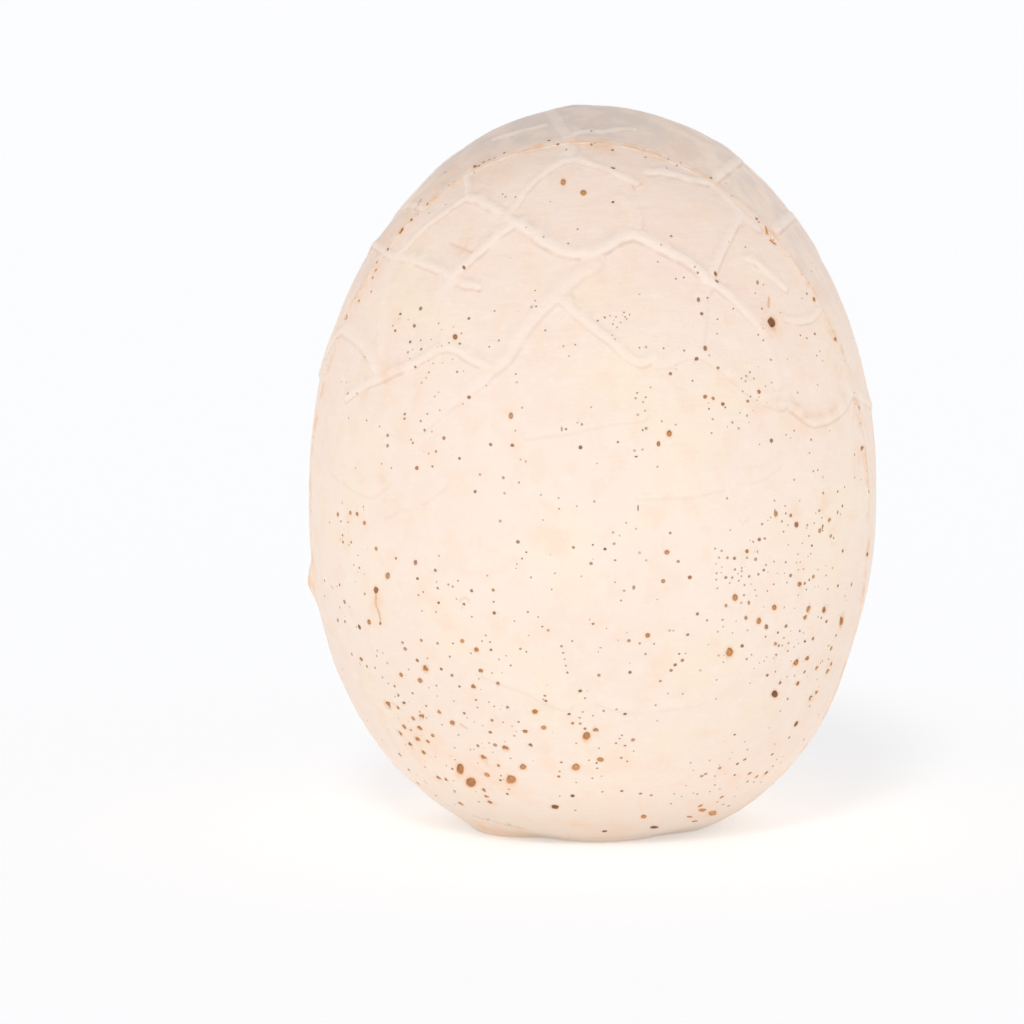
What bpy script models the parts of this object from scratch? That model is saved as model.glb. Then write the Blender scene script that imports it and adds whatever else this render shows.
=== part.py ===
"""A cast ostrich egg: one casting with raised veins, a mould seam, bubble pits and a small flat foot.

Run it in Blender 4.5, from the text editor or with blender --background --python part.py.
Metres, +Z up. The origin is the centre of the flat foot, and the front of the egg faces -Y.
"""

import math

import bmesh
import bpy
import numpy as np

MM = 0.001

# Overall shape: an ellipse above the widest ring and a slightly blunter curve below it.
# The lower curve would end LOWER_DEPTH below the widest ring, but the foot cuts it off at height 0.
EGG_HEIGHT = 135 * MM
WIDEST_RADIUS = 53.1 * MM
WIDEST_HEIGHT = 64 * MM
LOWER_DEPTH = 68.2 * MM
UPPER_POWER = 2.0
LOWER_POWER = 2.26

# Places on the front are given as an eye in front sees them: millimetres to the right of the axis
# and up from the middle of the foot. The eye looks down by EYE_TILT.
EYE_DISTANCE = 1500 * MM
EYE_TILT = math.radians(6.8)
FOOT_BELOW_MIDDLE = 66.6 * MM
TOWARD_EYE = np.array((0, -math.cos(EYE_TILT), math.sin(EYE_TILT)))
EYE_RIGHT = np.array((1, 0, 0))
EYE_UP = np.array((0, math.sin(EYE_TILT), math.cos(EYE_TILT)))
EGG_MIDDLE = np.array((0, 0, EGG_HEIGHT / 2))
SIGHT_STEPS = 1500

# Veins: round-backed ridges, by how high they stand. Their width is the same all over.
VEIN_HALF_WIDTH = 1.35 * MM
STRONG = 0.55 * MM
PLAIN = 0.4 * MM
SOFT = 0.25 * MM
VEIN_STEP = 3 * MM

# The mould seam: a thin ridge where a flat plane through the foot's middle meets the shell.
# The plane leans forward towards the top, and is turned a little about the upright.
SEAM_LEAN = math.radians(7.7)
SEAM_TURN = math.radians(4.3)
SEAM_FORWARD = 2 * MM
SEAM_HALF_WIDTH = 1.2 * MM
SEAM_RISE = 0.35 * MM

# Mesh: the sphere that the egg is shaped from, how it is split round the pits, and how far it is
# thinned at the end.
SPHERE_LEVEL = 8
PIT_REFINEMENTS = 2
REFINED_SHARE = 1.4
REFINED_MARGIN = 0.3 * MM
TRIANGLES = 10000

PLASTER_COLOUR = (0.91, 0.76, 0.64, 1)
PLASTER_ROUGHNESS = 0.62

# Veins on the front, named for where they run. Each has its rise and its bends (across, up) in mm.
FRONT_VEINS = {
    "left_shoulder_to_seam": (STRONG, [(-23.5, 116.5), (-28.5, 114), (-34, 108.5), (-38.5, 105.5), (-41, 103)]),
    "left_crown_to_seam": (PLAIN, [(-23.5, 116.5), (-23, 119), (-22, 122.5), (-19, 126.5)]),
    "left_shoulder": (STRONG, [(-23.5, 116.5), (-19.5, 116.5), (-15.5, 113)]),
    "crown_left": (STRONG, [(-15.5, 113), (-12.5, 118.5), (-10, 121), (-5.5, 123.5)]),
    "crown_right": (STRONG, [(-5.5, 123.5), (1.5, 122.5), (5, 120.5), (8, 119.5)]),
    "crown_to_seam": (PLAIN, [(-5.5, 123.5), (-4.5, 127.5), (-7, 130)]),
    "crown_back": (PLAIN, [(-4.5, 127.5), (-2.5, 129), (4, 129.5), (7.5, 129.5)]),
    "brow": (STRONG, [(-15.5, 113), (-10.5, 109.5), (-5, 106.5), (0.5, 106.5), (3.5, 108), (8, 110.5)]),
    "left_brow": (STRONG, [(-15.5, 113), (-17.5, 110), (-23, 105), (-26, 102)]),
    "left_cheek_upper": (PLAIN, [(-26, 102), (-30, 104), (-33, 105), (-37, 105.5)]),
    "left_spur": (PLAIN, [(-26, 102), (-23.5, 101), (-21.5, 100.5)]),
    "left_cheek_inner": (SOFT, [(-26, 102), (-27, 100.5), (-27.5, 92), (-27, 88)]),
    "left_cheek_outer": (SOFT, [(-37, 105.5), (-38.5, 97.5), (-40, 88.5), (-38.5, 84.5)]),
    "left_edge": (SOFT, [(-46, 92), (-44, 90), (-41.5, 85.5), (-38.5, 84.5)]),
    "left_belt": (PLAIN, [(-27, 88), (-31.5, 86), (-37, 84), (-41, 81.5), (-45.5, 79)]),
    "left_belt_inner": (PLAIN, [(-27, 88), (-22, 85.5), (-18.5, 84)]),
    "diagonal_top": (SOFT, [(1.5, 106.5), (-4.5, 100.5), (-6.5, 98)]),
    "diagonal": (PLAIN, [(-6.5, 98), (-10, 95), (-13, 91), (-16, 86), (-18.5, 84)]),
    "diagonal_low": (SOFT, [(-18.5, 84), (-22, 80), (-28.5, 76), (-34, 71)]),
    "middle": (PLAIN, [(-6.5, 98), (-4.5, 94.5), (1.5, 90), (8, 85), (11, 85.5), (19, 88)]),
    "crown_drop": (SOFT, [(8, 110.5), (6.5, 112.5), (6.5, 115), (8, 119.5)]),
    "right_crown": (STRONG, [(10.5, 121), (12.5, 121.5), (16.5, 120.5), (21.5, 119.5)]),
    "right_crown_to_seam": (STRONG, [(21.5, 119.5), (24, 122), (27, 124)]),
    "right_shoulder": (STRONG, [(21.5, 119.5), (24, 118), (28, 114)]),
    "right_shoulder_to_seam": (PLAIN, [(28, 114), (30, 111), (32.5, 109.5)]),
    "right_temple": (STRONG, [(28, 114), (26, 109.5), (24, 106.5), (21.5, 102)]),
    "right_brow": (STRONG, [(8, 110.5), (12.5, 108), (16.5, 105), (21.5, 102)]),
    "right_seam_spur": (STRONG, [(33, 110.5), (35.5, 112.5), (37, 113.5)]),
    "right_cheek": (STRONG, [(21.5, 102), (24, 100), (28.5, 94.5), (31.5, 91.5)]),
    "right_cheek_low": (SOFT, [(31.5, 91.5), (33, 86.5), (33.5, 82)]),
    "right_cheek_inner": (SOFT, [(21.5, 102), (20, 100.5), (20, 96), (19, 88)]),
    "right_temple_swell": (PLAIN, [(28.5, 105), (30.5, 103.5), (33, 102), (36, 100)]),
    "right_edge_spur": (PLAIN, [(36.5, 93), (39, 93), (40.5, 93.5), (42.5, 96)]),
    "right_belt": (STRONG, [(19, 88), (21.5, 86.5), (28.5, 81), (37.5, 76.5), (40.5, 74.5)]),
    "right_belt_outer": (STRONG, [(40.5, 74.5), (45.5, 76.5), (48.5, 79.5)]),
}

# Veins on the hidden side, which carry on the same kind of net from seam to seam. Their bends are
# (azimuth in degrees, height in mm). Azimuth starts at the front and grows to the right.
HIDDEN_VEINS = {
    "belt_right_end": (STRONG, [(69, 82.5), (84, 80), (100, 78)]),
    "belt_right": (STRONG, [(100, 78), (112, 84), (124, 93)]),
    "belt_right_middle": (STRONG, [(124, 93), (136, 83), (150, 76)]),
    "belt_middle": (STRONG, [(150, 76), (158, 84), (166, 88)]),
    "belt_middle_left": (STRONG, [(166, 88), (184, 87), (200, 82)]),
    "belt_left_middle": (STRONG, [(200, 82), (209, 89), (219, 95)]),
    "belt_left": (STRONG, [(219, 95), (230, 85), (243, 79)]),
    "belt_left_outer": (STRONG, [(243, 79), (257, 84), (270, 85)]),
    "belt_left_end": (STRONG, [(270, 85), (279, 91), (288, 94.5)]),
    "brow_right_end": (STRONG, [(62, 107), (82, 108), (101, 104)]),
    "brow_right": (STRONG, [(101, 104), (117, 106), (134, 111)]),
    "brow_right_middle": (STRONG, [(134, 111), (148, 105), (161, 103)]),
    "brow_middle": (STRONG, [(166, 88), (175, 96), (182, 104), (194, 111)]),
    "brow_left_middle": (STRONG, [(194, 111), (208, 108), (223, 103)]),
    "brow_left": (STRONG, [(223, 103), (239, 108), (254, 109)]),
    "brow_left_end": (PLAIN, [(254, 109), (272, 105), (290, 106)]),
    "right_post": (STRONG, [(124, 93), (111, 98), (101, 104)]),
    "middle_post": (STRONG, [(161, 103), (165, 96), (166, 88)]),
    "left_post": (STRONG, [(219, 95), (221, 99), (223, 103)]),
    "left_outer_post": (PLAIN, [(270, 85), (261, 96), (254, 109)]),
    "right_crown_post": (STRONG, [(134, 111), (140, 118), (152, 124)]),
    "right_outer_crown_post": (PLAIN, [(101, 104), (99, 112), (92, 120), (86, 125)]),
    "right_outer_crown_spur": (PLAIN, [(83, 115), (91, 113), (99, 112)]),
    "middle_crown_post": (STRONG, [(194, 111), (201, 116), (208, 121)]),
    "left_crown_post": (STRONG, [(254, 109), (262, 117), (268, 123)]),
    "crown_right": (STRONG, [(86, 125), (120, 128), (152, 124)]),
    "crown_middle": (STRONG, [(152, 124), (180, 126), (208, 121)]),
    "crown_left": (STRONG, [(208, 121), (240, 126), (268, 123)]),
    "crown_left_end": (PLAIN, [(268, 123), (288, 121), (300, 119)]),
    "over_the_top": (PLAIN, [(152, 124), (163, 131), (200, 134.5), (325, 134), (333, 132)]),
    "hem_right": (PLAIN, [(100, 78), (96, 70), (104, 61)]),
    "hem_right_middle": (PLAIN, [(150, 76), (155, 67), (147, 58)]),
    "hem_left_middle": (PLAIN, [(200, 82), (203, 73), (195, 65)]),
    "hem_left": (PLAIN, [(243, 79), (247, 70), (239, 61)]),
}

# Bubble pits big enough to see from a step away: (across, up, diameter) in mm, on the front.
FRONT_PITS = [
    (-25, 9.5, 2.2),
    (-22.5, 7.5, 1.8),
    (-15, 8, 1.7),
    (-20.5, 12, 1.4),
    (-16.5, 14, 1.4),
    (-3, 10, 1.5),
    (-1, 16, 1.4),
    (1.5, 11.5, 1.4),
    (-38.5, 21.5, 1.5),
    (25.5, 32, 1.7),
    (33.5, 93.5, 1.6),
    (46.5, 37.5, 1.5),
]
# The same on the hidden side: (azimuth in degrees, height, diameter in mm).
HIDDEN_PITS = [
    (122, 36, 1.6),
    (146, 14, 1.8),
    (171, 27, 1.5),
    (208, 11, 1.9),
    (233, 44, 1.5),
]
PIT_DEPTH_SHARE = 0.45

# Soft lumps and dents of the casting: (across, up, reach, rise) in mm, on the front.
# The first is the small lump that stands out of the left edge.
SWELLS = [
    (-53, 44.7, 3.4, 1.1),
    (-34, 119, 12, -0.6),
    (37, 115, 11, -0.4),
    (22, 127.5, 7, 0.25),
    (50, 32, 10, -0.6),
]

# The foot's edge: a thin lip of flash and two flats, as (azimuth, half spread, reach out in mm).
# Azimuth is in degrees from the front, growing to the right.
FOOT_EDGE = [
    (-58, 20, 1.5),
    (-28, 14, -0.9),
    (6, 16, 0.3),
    (42, 20, -0.9),
]
FOOT_LIP_HEIGHT = 3.2 * MM

SHELL_MIDDLE = np.array((0, 0, WIDEST_HEIGHT))


def clear_scene():
    """Empties the file of the objects that it opened with."""
    for thing in list(bpy.data.objects):
        bpy.data.objects.remove(thing, do_unlink=True)


def make_collection(name):
    """A collection of the given name, linked to the scene."""
    collection = bpy.data.collections.new(name)
    bpy.context.scene.collection.children.link(collection)
    return collection


def make_plaster():
    """Cream casting plaster, with a trace of peach."""
    material = bpy.data.materials.new("cast_plaster")
    material.use_nodes = True
    shader = material.node_tree.nodes["Principled BSDF"]
    shader.inputs["Base Color"].default_value = PLASTER_COLOUR
    shader.inputs["Roughness"].default_value = PLASTER_ROUGHNESS
    shader.inputs["Metallic"].default_value = 0
    return material


def upper_and_lower(points):
    """For each point, the curve's depth from the widest ring and its power, above or below it."""
    is_upper = points[:, 2] >= WIDEST_HEIGHT
    depth = np.where(is_upper, EGG_HEIGHT - WIDEST_HEIGHT, LOWER_DEPTH)
    power = np.where(is_upper, UPPER_POWER, LOWER_POWER)
    return depth, power


def shell_share(points):
    """How far out each point is, as a share of the way from the shell's middle to the shell."""
    depth, power = upper_and_lower(points)
    out = np.hypot(points[:, 0], points[:, 1]) / WIDEST_RADIUS
    along = np.abs(points[:, 2] - WIDEST_HEIGHT) / depth
    return (out ** power + along ** power) ** (1 / power)


def onto_shell(points):
    """Moves points to the plain shell, straight away from its middle."""
    return SHELL_MIDDLE + (points - SHELL_MIDDLE) / shell_share(points)[:, None]


def shell_normals(points):
    """Directions straight out of the plain shell at points on it."""
    depth, power = upper_and_lower(points)
    out = np.maximum(np.hypot(points[:, 0], points[:, 1]), 1e-9)
    rise = points[:, 2] - WIDEST_HEIGHT
    outward = (out / WIDEST_RADIUS) ** (power - 1) / WIDEST_RADIUS
    upward = np.sign(rise) * (np.abs(rise) / depth) ** (power - 1) / depth
    normals = np.stack([points[:, 0] / out * outward, points[:, 1] / out * outward, upward], axis=1)
    return normals / np.linalg.norm(normals, axis=1)[:, None]


def seen_place(across, up):
    """The point of the shell that the eye sees at the given millimetres across and up."""
    eye = EGG_MIDDLE + TOWARD_EYE * EYE_DISTANCE
    aim = EGG_MIDDLE + EYE_RIGHT * across * MM + EYE_UP * (up * MM - FOOT_BELOW_MIDDLE)
    half_height = EGG_HEIGHT / 2 / EYE_DISTANCE
    steps = np.linspace(1 - half_height, 1 + half_height / 2, SIGHT_STEPS)
    sight = eye + np.outer(steps, aim - eye)
    share = shell_share(sight)
    first = np.argmax(share < 1) if share.min() < 1 else np.argmin(share)
    return onto_shell(sight[first:first + 1])[0]


def turned_place(azimuth, height):
    """The point of the shell at an azimuth in degrees and a height in millimetres."""
    middle = np.array([(0, 0, height * MM)])
    depth, power = upper_and_lower(middle)
    along = np.abs(middle[:, 2] - WIDEST_HEIGHT) / depth
    radius = WIDEST_RADIUS * (1 - along ** power) ** (1 / power)
    turn = math.radians(azimuth)
    return middle[0] + radius[0] * np.array((math.sin(turn), -math.cos(turn), 0))


def smooth_path(corners):
    """A smooth curve on the shell through the corners, as points about VEIN_STEP apart."""
    ends = [2 * corners[0] - corners[1]] + corners + [2 * corners[-1] - corners[-2]]
    path = []
    for before, start, end, after in zip(ends, ends[1:], ends[2:], ends[3:]):
        count = max(1, round(np.linalg.norm(end - start) / VEIN_STEP))
        for step in range(count):
            t = step / count
            path.append(0.5 * (2 * start + (end - before) * t
                               + (2 * before - 5 * start + 4 * end - after) * t ** 2
                               + (3 * start - before - 3 * end + after) * t ** 3))
    path.append(corners[-1])
    return onto_shell(np.array(path))


def vein_runs():
    """Each vein's rise and its path on the shell."""
    runs = []
    for veins, place in ((FRONT_VEINS, seen_place), (HIDDEN_VEINS, turned_place)):
        for rise, bends in veins.values():
            runs.append((rise, smooth_path([place(*bend) for bend in bends])))
    return runs


def vein_relief(points):
    """How high the veins stand over each point. Where veins meet, the higher one counts."""
    relief = np.zeros(len(points))
    for rise, path in vein_runs():
        for start, end in zip(path, path[1:]):
            run = end - start
            reach = np.linalg.norm(run) / 2 + VEIN_HALF_WIDTH
            near = np.where(np.linalg.norm(points - (start + end) / 2, axis=1) < reach)[0]
            along = np.clip((points[near] - start) @ run / (run @ run), 0, 1)
            away = np.linalg.norm(points[near] - start - np.outer(along, run), axis=1)
            swell = rise * np.clip(1 - (away / VEIN_HALF_WIDTH) ** 2, 0, 1) ** 2
            relief[near] = np.maximum(relief[near], swell)
    return relief


def seam_relief(points):
    """The mould seam's ridge."""
    normal = np.array((math.tan(SEAM_TURN), 1, math.tan(SEAM_LEAN)))
    away = np.abs(points @ normal + SEAM_FORWARD) / np.linalg.norm(normal)
    return SEAM_RISE * np.clip(1 - (away / SEAM_HALF_WIDTH) ** 2, 0, 1) ** 2


def swell_relief(points):
    """The casting's soft lumps and dents."""
    relief = np.zeros(len(points))
    for across, up, reach, rise in SWELLS:
        away = np.linalg.norm(points - seen_place(across, up), axis=1)
        relief += rise * MM * np.exp(-(away / (reach * MM)) ** 2)
    return relief


def foot_relief(points):
    """The lip of flash and the flats round the edge of the foot."""
    azimuth = np.degrees(np.arctan2(points[:, 0], -points[:, 1]))
    fade = np.clip(1 - points[:, 2] / FOOT_LIP_HEIGHT, 0, 1) ** 2
    relief = np.zeros(len(points))
    for middle, spread, reach_out in FOOT_EDGE:
        relief += reach_out * MM * np.exp(-((azimuth - middle) / spread) ** 2)
    return relief * fade


def pit_places():
    """Each large pit's middle and radius."""
    places = []
    for pits, place in ((FRONT_PITS, seen_place), (HIDDEN_PITS, turned_place)):
        for across, up, diameter in pits:
            places.append((place(across, up), diameter * MM / 2))
    return places


def pit_relief(points):
    """The hollows of the large bubble pits, round-bottomed."""
    relief = np.zeros(len(points))
    for middle, radius in pit_places():
        away = np.linalg.norm(points - middle, axis=1)
        hollow = np.sqrt(np.clip(1 - (away / radius) ** 2, 0, 1))
        relief = np.minimum(relief, -2 * radius * PIT_DEPTH_SHARE * hollow)
    return relief


def shape_points(editor, move):
    """Moves every vertex of the mesh being edited by a function of all their places."""
    places = move(np.array([vertex.co[:] for vertex in editor.verts]))
    for vertex, place in zip(editor.verts, places):
        vertex.co = place


def sphere_to_shell(points):
    """Stretches the points of a unit sphere to the plain shell, ring by ring."""
    level = points[:, 2]
    ring = np.sqrt(np.clip(1 - level ** 2, 0, 1))
    power = np.where(level >= 0, UPPER_POWER, LOWER_POWER)
    depth = np.where(level >= 0, EGG_HEIGHT - WIDEST_HEIGHT, LOWER_DEPTH)
    radius = WIDEST_RADIUS * ring ** (2 / power)
    height = WIDEST_HEIGHT + np.sign(level) * depth * np.abs(level) ** (2 / power)
    around = np.arctan2(points[:, 1], points[:, 0])
    return np.stack([radius * np.cos(around), radius * np.sin(around), height], axis=1)


def refine_pits(editor):
    """Splits the edges round the large pits, so that each pit has points enough for its hollow."""
    for _ in range(PIT_REFINEMENTS):
        places = np.array([vertex.co[:] for vertex in editor.verts])
        near = np.zeros(len(places), dtype=bool)
        for middle, radius in pit_places():
            near |= np.linalg.norm(places - middle, axis=1) < REFINED_SHARE * radius + REFINED_MARGIN
        editor.verts.index_update()
        edges = [edge for edge in editor.edges if all(near[vertex.index] for vertex in edge.verts)]
        bmesh.ops.subdivide_edges(editor, edges=edges, cuts=1)
        shape_points(editor, onto_shell)


def raise_relief(points):
    """Adds all the relief of the casting to the plain shell."""
    ridges = np.maximum(vein_relief(points), seam_relief(points))
    relief = ridges + swell_relief(points) + foot_relief(points) + pit_relief(points)
    return points + shell_normals(points) * relief[:, None]


def make_foot_cutter(collection):
    """A box whose top face is the plane of the foot."""
    size = 4 * WIDEST_RADIUS
    editor = bmesh.new()
    bmesh.ops.create_cube(editor, size=size)
    bmesh.ops.translate(editor, verts=editor.verts, vec=(0, 0, -size / 2))
    mesh = bpy.data.meshes.new("foot_cutter")
    editor.to_mesh(mesh)
    editor.free()
    cutter = bpy.data.objects.new("foot_cutter", mesh)
    cutter.display_type = "WIRE"
    cutter.hide_render = True
    collection.objects.link(cutter)
    return cutter


def make_egg(collection, cutter):
    """The whole casting: shaped finely, thinned to a light mesh, and cut flat at the foot."""
    editor = bmesh.new()
    bmesh.ops.create_icosphere(editor, subdivisions=SPHERE_LEVEL, radius=1)
    shape_points(editor, sphere_to_shell)
    refine_pits(editor)
    shape_points(editor, raise_relief)
    bmesh.ops.triangulate(editor, faces=editor.faces)
    mesh = bpy.data.meshes.new("egg")
    editor.to_mesh(mesh)
    editor.free()
    mesh.shade_smooth()
    mesh.materials.append(make_plaster())
    egg = bpy.data.objects.new("egg", mesh)
    collection.objects.link(egg)
    thin = egg.modifiers.new("thin", "DECIMATE")
    thin.ratio = TRIANGLES / len(mesh.polygons)
    foot = egg.modifiers.new("foot", "BOOLEAN")
    foot.operation = "DIFFERENCE"
    foot.object = cutter


def main():
    """Builds the egg in an empty scene."""
    clear_scene()
    cutter = make_foot_cutter(make_collection("cutters"))
    make_egg(make_collection("cast_ostrich_egg"), cutter)


main()
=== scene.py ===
"""A cast ostrich egg and the studio that shows it.

The egg is one plaster casting, with raised veins, a mould seam, stained bubble pits and a flat foot.
Metres, +Z up. The origin is the middle of the foot, and the front of the egg faces -Y.
"""

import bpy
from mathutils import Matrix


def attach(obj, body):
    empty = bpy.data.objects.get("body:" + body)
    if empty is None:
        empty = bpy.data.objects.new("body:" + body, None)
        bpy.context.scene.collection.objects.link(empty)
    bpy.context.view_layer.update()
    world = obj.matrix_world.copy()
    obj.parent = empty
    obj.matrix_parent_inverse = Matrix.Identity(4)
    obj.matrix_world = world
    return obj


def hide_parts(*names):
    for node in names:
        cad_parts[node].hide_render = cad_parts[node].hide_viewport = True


bl_info = {
    "name": "Cast ostrich egg",
    "version": (1, 0, 0),
    "blender": (4, 5, 0),
    "location": "3D View > Sidebar > Egg",
    "description": "Casts a plaster ostrich egg over its packed solid and sets up a studio round it",
    "category": "Add Mesh",
}

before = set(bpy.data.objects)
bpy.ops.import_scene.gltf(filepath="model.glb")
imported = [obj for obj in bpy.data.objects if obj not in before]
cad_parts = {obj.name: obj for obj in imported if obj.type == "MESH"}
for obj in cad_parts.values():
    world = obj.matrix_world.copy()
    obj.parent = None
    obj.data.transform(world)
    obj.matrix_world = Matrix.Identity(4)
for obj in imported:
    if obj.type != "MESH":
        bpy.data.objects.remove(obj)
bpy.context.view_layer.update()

import math
import random

import bmesh
import bpy
import numpy as np
from bpy.props import FloatProperty, FloatVectorProperty, PointerProperty
from mathutils import Vector, noise

MM = 0.001
BODY = "root"
NODE = "egg"

# The plain shell: an ellipse above the widest ring and a slightly blunter curve below it.
EGG_HEIGHT = 135 * MM
WIDEST_RADIUS = 53.1 * MM
WIDEST_HEIGHT = 64 * MM
LOWER_DEPTH = 68.2 * MM
UPPER_POWER = 2.0
LOWER_POWER = 2.26
SHELL_MIDDLE = np.array((0, 0, WIDEST_HEIGHT))
# A point is taken to be at least this far from the axis, so that nothing is divided by zero.
TINY = 1e-9

# The eye in front of the egg, which the camera takes. Places on the front are given as it sees
# them: millimetres to the right of the axis and up from the middle of the foot.
EYE_DISTANCE = 1500 * MM
EYE_TILT = math.radians(6.8)
FOOT_BELOW_MIDDLE = 66.6 * MM
TOWARD_EYE = np.array((0, -math.cos(EYE_TILT), math.sin(EYE_TILT)))
EYE_RIGHT = np.array((1, 0, 0))
EYE_UP = np.array((0, math.sin(EYE_TILT), math.cos(EYE_TILT)))
EGG_MIDDLE = np.array((0, 0, EGG_HEIGHT / 2))
SIGHT_STEPS = 1500

# The picture: how much it takes in at the egg, and where its middle lies from the egg's middle.
PICTURE_WIDTH = 191.6 * MM
PICTURE_ACROSS = -15.1 * MM
PICTURE_UP = -8.6 * MM
SENSOR_WIDTH = 36

# The mould seam is where this plane meets the shell. The plane leans forward towards the top.
SEAM_LEAN = math.radians(7.7)
SEAM_TURN = math.radians(4.3)
SEAM_FORWARD = 2.5 * MM
SEAM_NORMAL = np.array((math.tan(SEAM_TURN), 1, math.tan(SEAM_LEAN)))
SEAM_HALF_WIDTH = 1.3 * MM
SEAM_POWER = 1.5

# Mesh: the sphere that the egg is shaped from, then rounds of splitting where the relief is. Each round
# has its cuts an edge, how far round the relief it reaches, and the radius of the least pit it takes in.
SPHERE_LEVEL = 6
SPLIT_ROUNDS = [
    {"cuts": 2, "vein": 2 * MM, "seam": 1.6 * MM, "pit": 0.8 * MM, "foot": 4 * MM, "least": 0},
    {"cuts": 1, "vein": 1.5 * MM, "seam": 1.1 * MM, "pit": 0.35 * MM, "foot": 2.5 * MM, "least": 0.25 * MM},
    {"cuts": 1, "vein": 0, "seam": 0, "pit": 0.12 * MM, "foot": 0, "least": 0.44 * MM},
]
# A vein's path has a point about every step, and the vein is looked for within its reach. Where veins
# meet, their heights run together by this power.
VEIN_STEP = 3 * MM
VEIN_REACH = 4 * MM
JOINT_POWER = 6
# A vein is a round bead with a crisp foot. Each kind has its own half width.
VEIN_POWER = 2.4
VEIN_HALF_WIDTHS = {
    "bold": 1.3 * MM,
    "strong": 1.15 * MM,
    "plain": 1.05 * MM,
    "slim": 0.9 * MM,
    "soft": 1.5 * MM,
    "faint": 1.3 * MM,
}
# The way to the nearest vein in half widths, where none is near.
FAR_FROM_VEINS = 4.0
# How unevenly veins and seam are worn: the share that stands, how far that varies, and its waves.
VEIN_WEAR = {"share": 0.85, "spread": 0.3, "size": 9 * MM, "shift": 11.3}
SEAM_WEAR = {"share": 0.8, "spread": 0.4, "size": 3 * MM, "shift": 5.7}

# Light comes from above and a little from the left, so the painted shade along a vein's foot lies on this
# side.
CREASE_SIDE = np.array((0.33, 0, -0.94))

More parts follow.
